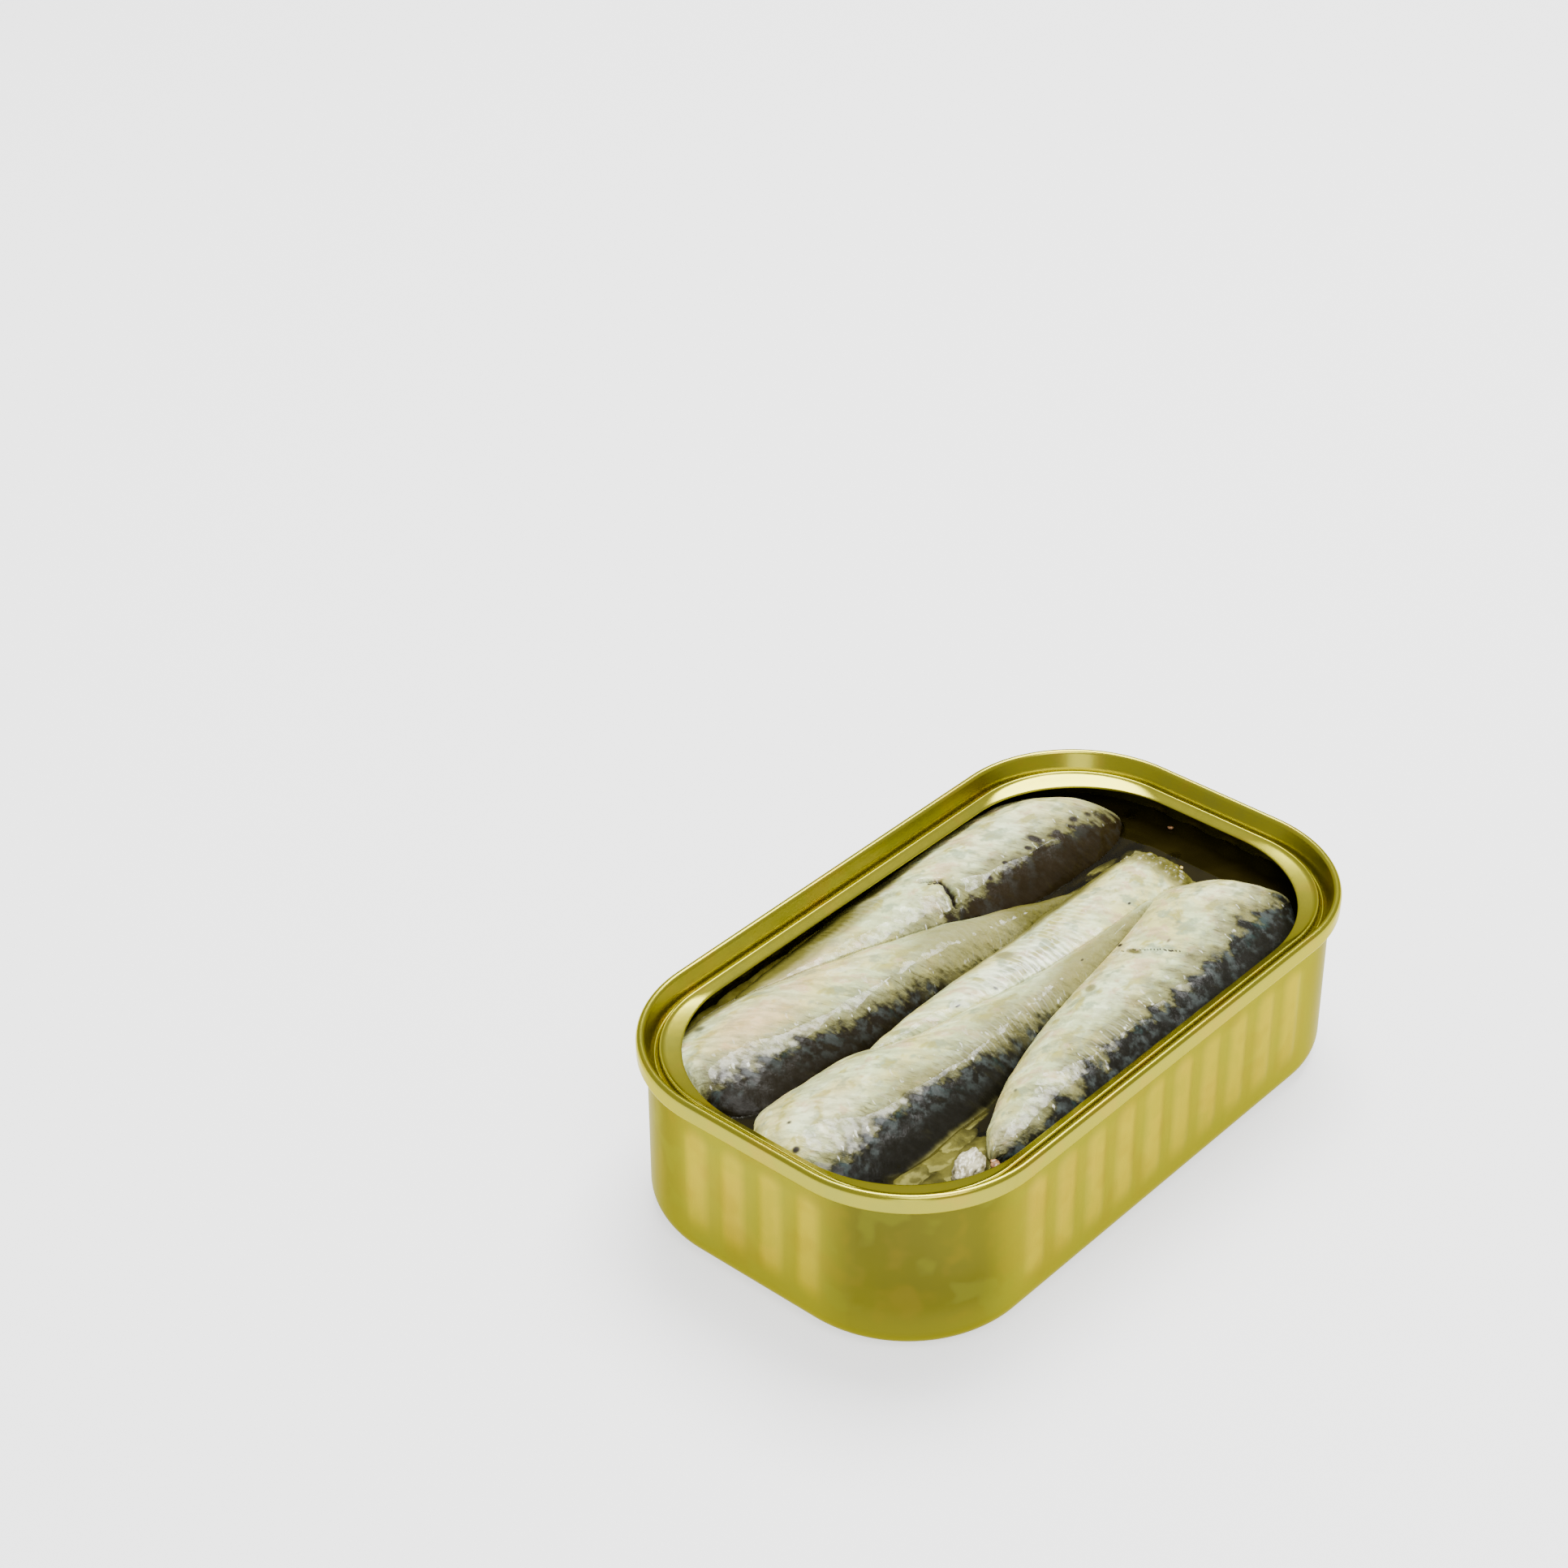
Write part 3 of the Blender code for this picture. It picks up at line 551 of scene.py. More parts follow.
class FishShape:
    """The form of one fish, in millimetres, on arrays of places."""

    def __init__(self, data):
        self.data = data
        self.left = data["keel"][0][0]
        self.right = data["keel"][-1][0]
        ends = (self.left, self.right) if data["head_at_left"] else (self.right, self.left)
        self.head, self.tail = ends

    def section(self, x):
        """Keel, back, rise, depth, size and width of the section at x. Keel and back are (y, z)."""
        keel_y = smooth_line(self.data["keel"], x)
        back_y = smooth_line(self.data["back"], x)
        crown = smooth_line(self.data["crown"], x)
        keel_height, back_height = self.data["heights"]
        width = np.hypot(keel_y - back_y, keel_height - back_height)
        stoutness = 0.35 + 0.65 * np.clip((width - 2) / 12, 0.0, 1.0)
        keel_z = crown - np.maximum(crown - keel_height, 1.0) * stoutness
        back_z = crown - np.maximum(crown - back_height, 1.0) * stoutness
        chord = back_z + (keel_z - back_z) * 0.36
        depth = np.minimum(chord - FISH_FLOOR, THICKEST_PER_WIDTH * width)
        size = end_size(np.abs(x - self.head), self.data["head_rounding"])
        size = size * end_size(np.abs(x - self.tail), TAIL_ROUNDING)
        return (keel_y, keel_z), (back_y, back_z), crown - chord, depth, size, width

    def skin(self, x, angle):
        """Places on the skin. The angle is 0 at the keel, pi at the back, and under 0 on the lower side."""
        (keel_y, keel_z), (back_y, back_z), rise, depth, size, _ = self.section(x)
        share = (1 + np.cos(angle)) / 2
        over = rise * section_shape(share, UPPER_KEEL_POWER)
        under = -depth * section_shape(share, LOWER_KEEL_POWER)
        lift = np.where(angle >= 0, over, under)
        y = back_y + (keel_y - back_y) * share
        z = back_z + (keel_z - back_z) * share + lift
        middle_y, middle_z = (keel_y + back_y) / 2, (keel_z + back_z) / 2
        return np.stack([x, middle_y + (y - middle_y) * size, middle_z + (z - middle_z) * size], axis=1)

    def height(self, x, y, upper):
        """Height of the upper or lower skin over plan places, or nan beside the fish."""
        section = self.section(np.clip(x, self.left, self.right))
        (keel_y, keel_z), (back_y, back_z), rise, depth, size, _ = section
        size = np.maximum(size, 1e-3)
        middle_y, middle_z = (keel_y + back_y) / 2, (keel_z + back_z) / 2
        share = ((y - middle_y) / size + middle_y - back_y) / (keel_y - back_y)
        inside = (share >= 0) & (share <= 1) & (x > self.left) & (x < self.right)
        share = np.clip(share, 0.0, 1.0)
        if upper:
            lift = rise * section_shape(share, UPPER_KEEL_POWER)
        else:
            lift = -depth * section_shape(share, LOWER_KEEL_POWER)
        z = middle_z + (back_z + (keel_z - back_z) * share + lift - middle_z) * size
        return np.where(inside, z, np.nan)

    def across(self, x, share):
        """Distance over the skin from where the dark back begins, above 0 on the flank."""
        width = self.section(x)[-1]
        edge = np.clip(smooth_line(self.data["dark_edge"], x), 0.0, 1.0)
        return (np.arccos(2 * edge - 1) - np.arccos(np.clip(2 * share - 1, -1, 1))) * width * 1.2 / math.pi


SHAPES = {name: FishShape(data) for name, data in FISH.items()}


def tin():
    """Sizes of the tin."""
    return bpy.context.scene.tin_sizes


def colours():
    """Colours of the finishes."""
    return bpy.context.scene.finish_colours


def straight_halves():
    """Half lengths of the rim's straights: along the long side and along the short side."""
    sizes = tin()
    return sizes.length / 2 - sizes.corner_radius, sizes.width / 2 - sizes.corner_radius


def rim_distance(x, y):
    """How far plan places lie inside the rim's outer face, in metres, on arrays."""
    radius = tin().corner_radius
    half_long, half_short = straight_halves()
    over_x = np.abs(x) - half_long
    over_y = np.abs(y) - half_short
    beyond = np.hypot(np.maximum(over_x, 0.0), np.maximum(over_y, 0.0))
    return radius - beyond - np.minimum(np.maximum(over_x, over_y), 0.0)


def keep_inside(places, inset):
    """Pull places that are nearer to the rim than the inset straight in to it."""
    radius = tin().corner_radius
    half = np.array(straight_halves())
    plan = places[:, :2]
    side = np.sign(plan)
    core = np.minimum(np.abs(plan), half)
    over = np.abs(plan) - core
    reach = np.maximum(np.hypot(over[:, 0], over[:, 1]), 1e-9)
    over *= np.minimum(1.0, (radius - inset) / reach)[:, None]
    places[:, :2] = side * (core + over)
    return places


def read_points(mesh):
    """Places of a mesh's vertices."""
    places = np.empty(len(mesh.vertices) * 3)
    mesh.vertices.foreach_get("co", places)
    return places.reshape(-1, 3)


def write_points(mesh, places):
    """Move a mesh's vertices."""
    mesh.vertices.foreach_set("co", places.ravel())
    mesh.update()


def face_outwards(bm):
    """Turn the faces of a closed bmesh outwards."""
    bmesh.ops.recalc_face_normals(bm, faces=bm.faces[:])
    if bm.calc_volume(signed=True) < 0:
        bmesh.ops.reverse_faces(bm, faces=bm.faces[:])
    bm.normal_update()


def new_mesh(name, bm, sharp_angle=180.0):
    """Mesh with outward faces, smooth but for edges sharper than the angle."""
    face_outwards(bm)
    mesh = bpy.data.meshes.new(name)
    bm.to_mesh(mesh)
    bm.free()
    mesh.shade_smooth()
    if sharp_angle < 180.0:
        mesh.set_sharp_from_angle(angle=math.radians(sharp_angle))
    return mesh


def add_piece(name, mesh, material, slot, *nodes):
    """Piece that rides on the tin and stands for CAD nodes."""
    piece = bpy.data.objects.new(name, mesh)
    bpy.context.scene.collection.objects.link(piece)
    mesh.materials.append(material)
    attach(piece, "root")
    if nodes:
        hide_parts(*nodes)
    return piece


def paint(mesh, name, values):
    """Store a value for each vertex: numbers, vectors or colours."""
    kind, field = {1: ("FLOAT", "value"), 3: ("FLOAT_VECTOR", "vector"), 4: ("FLOAT_COLOR", "color")}[
        1 if values.ndim == 1 else values.shape[1]
    ]
    layer = mesh.attributes.new(name, kind, "POINT")
    layer.data.foreach_set(field, values.astype(np.float32).ravel())


def quarter_length():
    """Length of the rim from the middle of a long side to the middle of a short side."""
    sizes = tin()
    straight = sizes.length / 2 + sizes.width / 2 - 2 * sizes.corner_radius
    return straight + sizes.corner_radius * math.pi / 2


def rim_place(along, inset, corner_extra=0.0):
    """Plan point on the rim, moved in by the inset, with the corner's radius made larger by the extra."""
    radius = tin().corner_radius
    quarter, run = divmod(along, quarter_length())
    if quarter % 2:
        run = quarter_length() - run
    half_long, half_short = straight_halves()
    turn = min(max((run - half_long) / radius, 0.0), math.pi / 2)
    past_corner = max(run - half_long - radius * math.pi / 2, 0.0)
    if run >= half_long:
        half_long -= corner_extra
    reach = radius - inset + corner_extra
    x = min(run, half_long) + reach * math.sin(turn)
    y = half_short - corner_extra - past_corner + reach * math.cos(turn)
    return x * (1 if quarter < 2 else -1), y * (1 if quarter in (1, 2) else -1)


def whole_rim(quarter_columns):
    """Repeat the columns of one quarter round the rim, mirrored at the middle of each side."""
    quarter = quarter_length()
    columns = []
    for index in range(4):
        runs = quarter_columns if index % 2 == 0 else [quarter - run for run in reversed(quarter_columns)]
        columns += [index * quarter + run for run in runs]
    return columns


def sweep_rim(columns, profile, relief=None, closed=False):
    """Sweep a profile of (inset, height, corner extra) round the rim. Relief pushes points outwards."""
    bm = bmesh.new()
    layer = bm.verts.layers.int.new("column")
    for index, vert in enumerate(bmesh.ops.create_circle(bm, segments=len(columns), radius=1.0)["verts"]):
        vert[layer] = index

    def place(verts, inset, z, corner_extra=0.0):
        for vert in verts:
            along = columns[vert[layer]]
            x, y = rim_place(along, inset - (relief(along, z) if relief else 0.0), corner_extra)
            vert.co = (x, y, z)

    place(bm.verts, *profile[0])
    first_edges = bm.edges[:]
    edges = first_edges
    for point in profile[1:]:
        grown = bmesh.ops.extrude_edge_only(bm, edges=edges)["geom"]
        edges = [part for part in grown if isinstance(part, bmesh.types.BMEdge)]
        place([part for part in grown if isinstance(part, bmesh.types.BMVert)], *point)
    if closed:
        bmesh.ops.bridge_loops(bm, edges=first_edges + edges)
    else:
        bmesh.ops.edgeloop_fill(bm, edges=first_edges)
    return bm


def flute_centres():
    """Places of the flutes of one quarter, measured from the middle of the long side."""
    sizes = tin()
    long_side = [(k + 0.5) * sizes.long_flute_pitch for k in range(LONG_FLUTES // 2)]
    short_side = [quarter_length() - (k + 0.5) * sizes.short_flute_pitch for k in range(SHORT_FLUTES // 2)]
    return long_side + short_side[::-1]


def flute_share(along, z):
    """How far a flute stands out at a place on the wall, from 0 to 1. Its head is a round arch."""
    sizes = tin()
    quarter, run = divmod(along, quarter_length())
    if quarter % 2:
        run = quarter_length() - run
    sideways = min(abs(run - centre) for centre in flute_centres())
    over_arch = max(z - (sizes.flute_head - sizes.flute_base / 2), 0.0)
    away = math.hypot(sideways, over_arch)
    risen = 1 - step(away, sizes.flute_crest / 4, sizes.flute_base / 2 + FLUTE_EDGE)
    return float(risen * step(z, sizes.flute_foot, sizes.flute_foot + FLUTE_RISE))


def wall_profile():
    """Outer side of the drawn body: flat base, rounded foot, and a wall that ends inside the seam."""
    sizes = tin()
    profile = []
    for index in range(FOOT_STEPS + 1):
        turn = math.pi / 2 * index / FOOT_STEPS
        inset = sizes.wall_inset + sizes.foot_radius * (1 - math.sin(turn))
        profile.append((inset, sizes.foot_radius * (1 - math.cos(turn))))
    top = sizes.height - sizes.seam_height + 0.5 * MM
    arch_foot = sizes.flute_head - sizes.flute_base / 2
    heights = np.concatenate([
        np.linspace(sizes.flute_foot, sizes.flute_foot + FLUTE_RISE_ROWS_END, FOOT_ROWS),
        np.linspace(sizes.flute_foot + FLUTE_RISE_ROWS_END, arch_foot, STRAIGHT_ROWS)[1:],
        np.linspace(arch_foot, sizes.flute_head + 0.2 * MM, ARCH_ROWS)[1:],
        (top - 0.8 * MM, top),
    ])
    return profile + [(sizes.wall_inset, float(z)) for z in heights]


def make_body_mesh():
    """Fluted body as one sheet, with its flutes and its bends at the corners painted on it, for the painted
    highlight on the crests and the painted shade at the corners.
    """
    sizes = tin()
    columns = []
    half_base = sizes.flute_base / 2
    for centre in flute_centres():
        columns += [centre + offset for offset in np.linspace(-half_base, half_base, FLUTE_COLUMNS)]
    last_long = columns[LONG_FLUTES // 2 * FLUTE_COLUMNS - 1]
    first_short = columns[LONG_FLUTES // 2 * FLUTE_COLUMNS]
    columns += list(np.linspace(last_long, first_short, WALL_CORNER_STEPS))[1:-1]
    bm = sweep_rim(
        whole_rim(sorted(float(column) for column in columns)), wall_profile(),
        relief=lambda along, z: sizes.flute_depth * flute_share(along, z),
    )
    mesh = bpy.data.meshes.new("can_wall")
    bmesh.ops.recalc_face_normals(bm, faces=bm.faces[:])
    bm.to_mesh(mesh)
    bm.free()
    mesh.shade_smooth()
    places = read_points(mesh)
    stands_out = sizes.wall_inset - rim_distance(places[:, 0], places[:, 1])
    on_wall = places[:, 2] > sizes.flute_foot
    # How far the wall stands out, which the lacquer uses to paint a highlight on the crests.
    paint(mesh, "crest", np.where(on_wall, np.clip(stands_out / sizes.flute_depth, 0.0, 1.0), 0.0))
    half_long, half_short = straight_halves()
    before_corner = np.maximum(half_long - np.abs(places[:, 0]), half_short - np.abs(places[:, 1]))
    raised = step(places[:, 2], 2.0 * MM, 10.0 * MM)
    # Where the wall bends round a corner, weaker near the base: the mask of the painted shade there.
    paint(mesh, "bend", step(-before_corner, -1.0 * MM, 7.0 * MM) * (0.35 + 0.65 * raised))
    return mesh


def rounded(points, steps):
    """Closed Catmull-Rom curve through points."""
    points = np.array([(*point, 0.0)[:3] for point in points])
    before, after, later = (np.roll(points, shift, axis=0) for shift in (1, -1, -2))
    curve = []
    for previous, start, end, following in zip(before, points, after, later):
        for t in np.arange(steps) / steps:
            curve.append(hermite(t, start, end, (end - previous) / 2, (following - start) / 2))
    return np.maximum(curve, 0.0)


def make_ring_mesh():
    """Double seam, chuck wall, groove, bead and ledge as one closed ring."""
    sizes = tin()
    half_long, _ = straight_halves()
    columns = np.linspace(half_long, half_long + sizes.corner_radius * math.pi / 2, RING_CORNER_STEPS)
    profile = [
        (float(inset) * MM, sizes.height - float(drop) * MM, float(extra) * MM)
        for inset, drop, extra in rounded(LID_SECTION, SECTION_STEPS)
    ]
    return new_mesh("seam_and_ledge", sweep_rim(whole_rim(columns.tolist()), profile, closed=True))


def lacquer_finish(name, on_wall):
    """Clear gold lacquer over tinplate: satin wall or brighter seam, with drawing marks and uneven tone. On
    the wall the flutes' crests are painted lighter as a highlight and the corners darker as shade.
    """
    look = colours()
    coat, coat_roughness, roughness = (0.03, 0.2, 0.29) if on_wall else (0.12, 0.07, 0.17)
    finish = Finish(
        name, metallic=1.0, specular_tint=(0.85, 0.79, 0.38), coat_weight=coat, coat_roughness=coat_roughness,
    )
    place = finish.place()
    x, y, z = finish.parts(place)
    tone = finish.noise(place, scale=38.0, detail=3.0)
    blotch = finish.noise(place, scale=150.0, detail=2.0)
    marks = finish.noise(finish.vector(x * 900.0, y * 900.0, z * 90.0), detail=2.0, roughness=0.6)
    colour = look.ring_gold
    if on_wall:
        crest = finish.attribute("crest")
        # Crests painted lighter than the wall between them: a painted highlight on the flutes.
        colour = finish.blend(crest * 0.95, look.gold, look.crest_painted_highlight)
        blush = finish.noise(place, scale=70.0, detail=2.0).ramp(0.5, 0.68) * crest * 0.35
        colour = finish.blend(blush, colour, (0.44, 0.28, 0.02))
        # Corners painted darker, less so near the base: painted shade.
        colour = finish.blend(finish.attribute("bend") * 0.9, colour, look.painted_corner_shade)
        colour = finish.blend(blotch.ramp(0.52, 0.64) * 0.2, colour, (0.20, 0.125, 0.008))
        colour = finish.blend(blotch.ramp(0.46, 0.36) * 0.2, colour, (0.17, 0.19, 0.015))
        colour = finish.blend(tone.ramp(0.35, 0.75) * 0.25, colour, (0.19, 0.175, 0.010))
    else:
        colour = finish.blend(blotch.ramp(0.54, 0.66) * 0.35, colour, (0.36, 0.24, 0.02))
        colour = finish.blend(blotch.ramp(0.46, 0.34) * 0.35, colour, (0.24, 0.24, 0.03))
    colour = finish.blend(marks.ramp(0.6, 0.8) * 0.12, colour, (0.13, 0.115, 0.010))
    finish.set("Base Color", colour)
    finish.set("Roughness", roughness + tone * 0.08 + marks * 0.05)
    finish.bump(marks, 0.00002, 0.25)
    return finish.material


def skin_finish():
    """Wet sardine skin: silver and cream flank, torn dark edge, slate and black back, with painted
    highlights, glints, shine and shade.
    """
    look = colours()
    finish = Finish("wet_sardine_skin", coat_roughness=0.06, specular_ior_level=0.08)
    along, across, share = finish.parts(finish.attribute("skin", "Vector"))
    peach, olive, dark = finish.parts(finish.attribute("marks", "Vector"))
    white = finish.attribute("marks", "Alpha")
    scales = finish.attribute("scales")
    brown = finish.attribute("brown")
    teeth = finish.attribute("teeth")

    def grain(along_scale, across_scale, seed, detail=2.0, roughness=0.5, slant=None):
        """Noise over the skin, which the slant leans towards the head."""
        run = along * along_scale
        if slant is not None:
            run = run + across * slant
        place = finish.vector(run, across * across_scale, seed)
        return finish.noise(place, detail=detail, roughness=roughness)

    # Where the dark back ends: broad teeth with fibres and blotches across them
    broad = grain(0.27, 0.06, 3.0, 1.0) - 0.5
    fibres = grain(0.8, 0.34, 7.0, 3.0, 0.6, slant=0.4) - 0.5
    blotches = grain(0.5, 0.6, 11.0, 3.0) - 0.5
    edge = across + broad * teeth * 3.4 + fibres * 2.4 + blotches * 4.2
    is_back = edge.ramp(0.75, -0.6)

    # Flank: patches of silver, cream, grey green, pink and yellow, darker towards the back and the keel;
    # towards the back this is partly the skin's own colour and partly painted shade
    drift = grain(0.12, 0.18, 0.5)
    tint = grain(0.26, 0.3, 9.0, 3.0, 0.6)
    patch = grain(0.22, 0.34, 17.0, 3.0, 0.6)
    colour = finish.blend(drift.ramp(0.42, 0.58), look.cream, look.silver)
    # White marks: painted highlights on the flank.
    colour = finish.blend(white * 0.85, colour, (0.84, 0.92, 0.66))
    colour = finish.blend(tint.ramp(0.53, 0.64) * 0.75, colour, (0.21, 0.27, 0.15))
    colour = finish.blend(tint.ramp(0.46, 0.36) * 0.6, colour, (0.50, 0.32, 0.18))
    colour = finish.blend(patch.ramp(0.53, 0.64) * 0.75, colour, (0.32, 0.29, 0.03))
    colour = finish.blend(patch.ramp(0.44, 0.34) * 0.5, colour, (0.80, 0.90, 0.56))
    colour = finish.blend(peach * 0.75, colour, look.peach)
    colour = finish.blend(patch.ramp(0.48, 0.56) * edge.ramp(5.5, 1.5) * 0.4, colour, (0.36, 0.46, 0.46))
    # Tan and olive towards the dark back: partly the skin's own colour, partly painted shade.
    near_back = edge.ramp(6.0, 0.3)
    colour = finish.blend(near_back * 0.85, colour, look.tan_and_painted_shade)
    colour = finish.blend(edge.ramp(2.4, 0.1) * 0.85, colour, look.edge_olive_and_painted_shade)
    colour = finish.blend(share.ramp(0.8, 1.0) * 0.5, colour, (0.26, 0.23, 0.07))

    # Fibres of muscle under the skin, scale pockets, and flecks, raised in the bump and painted near-white as
    # small highlights
    strands = grain(0.62, 0.34, 1.0, 3.0, slant=0.4)
    dashes = grain(2.2, 0.7, 33.0, slant=0.9)
    colour = finish.blend(strands.ramp(0.58, 0.4) * 0.4, colour, (0.20, 0.195, 0.075))
    colour = finish.blend(dashes.ramp(0.54, 0.68) * (near_back * 0.8 + 0.04), colour, (0.085, 0.078, 0.025))
    pocket_place = finish.vector(along * 0.85 + across * 0.3, across * 0.55, 2.0)
    pockets = finish.node(
        "ShaderNodeTexVoronoi", {"feature": "SMOOTH_F1"},
        {"Vector": pocket_place, "Scale": 1.0, "Smoothness": 0.3},
    )
    flecks = grain(1.15, 0.6, 21.0, slant=-0.6)
    painted_glints = flecks.ramp(0.64, 0.69) * (near_back * 0.4 + scales * 0.6 + 0.06)
    colour = finish.blend(painted_glints, colour, (0.94, 0.95, 0.84))

    # Rows of scales, painted as stripes of shade and highlight
    bend = grain(0.2, 0.2, 30.0, 1.0)
    from_centre = across - SCALE_BOW_CENTRE
    phase = along * SCALE_ROWS + from_centre * from_centre * SCALE_BOW + bend * 9.0
    rows = finish.node("ShaderNodeMath", {"operation": "SINE"}, {0: phase})
    colour = finish.blend(rows.ramp(0.0, -0.95) * scales * 0.55, colour, (0.24, 0.24, 0.14))
    colour = finish.blend(rows.ramp(0.5, 1.0) * scales * 0.5, colour, (0.90, 0.92, 0.80))

    # Back: slate next to the flank, then black or brown, with a painted blue-green shine
    mottles = grain(0.5, 0.6, 14.0, 3.0, 0.6)
    slate_share = mottles.ramp(0.46, 0.64) * edge.ramp(-4.0, -0.3) * (1 - brown * 0.9)
    back = finish.blend(brown, look.back_black, look.back_brown)
    back = finish.blend(slate_share, back, look.back_slate)
    painted_sheen = tint.ramp(0.58, 0.68) * edge.ramp(-3.0, -0.4) * (1 - brown) * 0.5
    back = finish.blend(painted_sheen, back, (0.020, 0.045, 0.042))
    colour = finish.blend(is_back, colour, back)

    # Local marks
    soaked = olive + (strands - 0.5) * 0.3
    colour = finish.blend(soaked.ramp(0.02, 0.40) * 0.88, colour, (0.17, 0.158, 0.045))
    colour = finish.blend(soaked.ramp(0.4, 0.85) * 0.9, colour, look.sunk_olive)
    colour = finish.blend(dark.ramp(0.15, 0.65), colour, (0.012, 0.008, 0.003))
    finish.set("Base Color", colour)
    wet = grain(0.9, 0.9, 40.0, 3.0)
    finish.set("Roughness", 0.3 + wet * 0.25 - is_back * 0.1)
    finish.set("Coat Weight", (wet.ramp(0.42, 0.60) * 0.5 + 0.15) * (1 - is_back * 0.85))
    fine = grain(2.2, 1.8, 50.0, 3.0, 0.6)
    coarseness = near_back * 0.7 + scales * 0.25 + 0.3
    relief = strands * 0.9 + (fine * 0.3 + flecks * 0.4 - pockets * 0.6) * coarseness + rows * scales * 0.14
    finish.bump(relief * (1 - is_back * 0.7), 0.0006, 1.0)
    return finish.material


def oil_finish():
    """Olive oil: clear where thin, dark where deep, with a mirror of the light on top. The deep oil is near
    black, partly from its own depth and partly as painted shade.
    """
    look = colours()
    finish = Finish("olive_oil", roughness=0.12, specular_ior_level=0.0)
    depth = finish.attribute("depth")
    swirl = finish.noise(finish.place(), scale=160.0, detail=2.0)
    cover = (depth + (swirl - 0.5) * 0.12).ramp(-0.05, 1.0)
    clear = finish.node("ShaderNodeBsdfTransparent", inputs={"Color": look.clear_oil})
    mirror = finish.node("ShaderNodeBsdfGlossy", inputs={"Color": (0.38, 0.38, 0.34), "Roughness": 0.03})
    # Deep oil near black: partly its own depth, partly painted shade.
    murk = finish.blend(swirl.ramp(0.4, 0.7), look.deep_oil_and_painted_shade, [part * 1.7 for part in look.deep_oil_and_painted_shade])
    finish.set("Base Color", murk)
    opaque = Amount(finish, finish.shader.outputs[0])
    body = finish.node("ShaderNodeMixShader", inputs={0: cover, 1: clear, 2: opaque})
    shine = finish.node("ShaderNodeFresnel", inputs={"IOR": 1.36})
    surface = finish.node("ShaderNodeMixShader", inputs={0: shine, 1: body, 2: mirror})
    finish.plug(surface, finish.tree.nodes["Material Output"].inputs["Surface"])
    return finish.material


def flesh_finish(name, pale, deep, scale):
    """Moist cooked flesh, or crumbs of it."""
    finish = Finish(name, coat_weight=0.6, coat_roughness=0.1)
    place = finish.place()
    layers = finish.noise(place, scale=scale, detail=4.0, roughness=0.6)
    colour = finish.blend(layers.ramp(0.38, 0.66), deep, pale)
    finish.set("Base Color", colour)
    finish.set("Roughness", 0.3 + layers * 0.25)
    finish.bump(layers, 0.0003, 0.6)
    return finish.material


def line_distance(x, y, points):
    """Distance of places from a line through points."""
    nearest = np.full(len(x), np.inf)
    for (start_x, start_y), (end_x, end_y) in zip(points, points[1:]):
        run_x, run_y = end_x - start_x, end_y - start_y
        t = np.clip(((x - start_x) * run_x + (y - start_y) * run_y) / (run_x ** 2 + run_y ** 2), 0.0, 1.0)
        nearest = np.minimum(nearest, np.hypot(x - start_x - run_x * t, y - start_y - run_y * t))
    return nearest


def blobs(marks, x, share):
    """Strongest of some soft round marks at places on the skin."""
    total = np.zeros(len(x))
    for centre, centre_share, half_length, half_width, strength in marks:
        away = ((x - centre) / half_length) ** 2 + ((share - centre_share) / half_width) ** 2
        total = np.maximum(total, strength * np.exp(-away ** 1.5))
    return total


def press_under(places, others):
    """Move the places that lie inside other fish down to below them."""
    x, y, z = places.T
    for shape in others:
        top = shape.height(x, y, upper=True)
        under = shape.height(x, y, upper=False) - SKIN_GAP
        inside = (z > under) & (z < top)
        z = np.where(inside, under, z)
    return np.stack([x, y, z], axis=1)


def make_ball_mesh():
    """Ball whose poles become a fish's head and tail."""
    bm = bmesh.new()
    bmesh.ops.create_uvsphere(bm, u_segments=FISH_SIDES, v_segments=FISH_RINGS, radius=1.0)
    return new_mesh("ball", bm)


def signed_volume(mesh):
    """Signed volume of a mesh."""
    bm = bmesh.new()
    bm.from_mesh(mesh)
    volume = bm.calc_volume(signed=True)
    bm.free()
    return volume


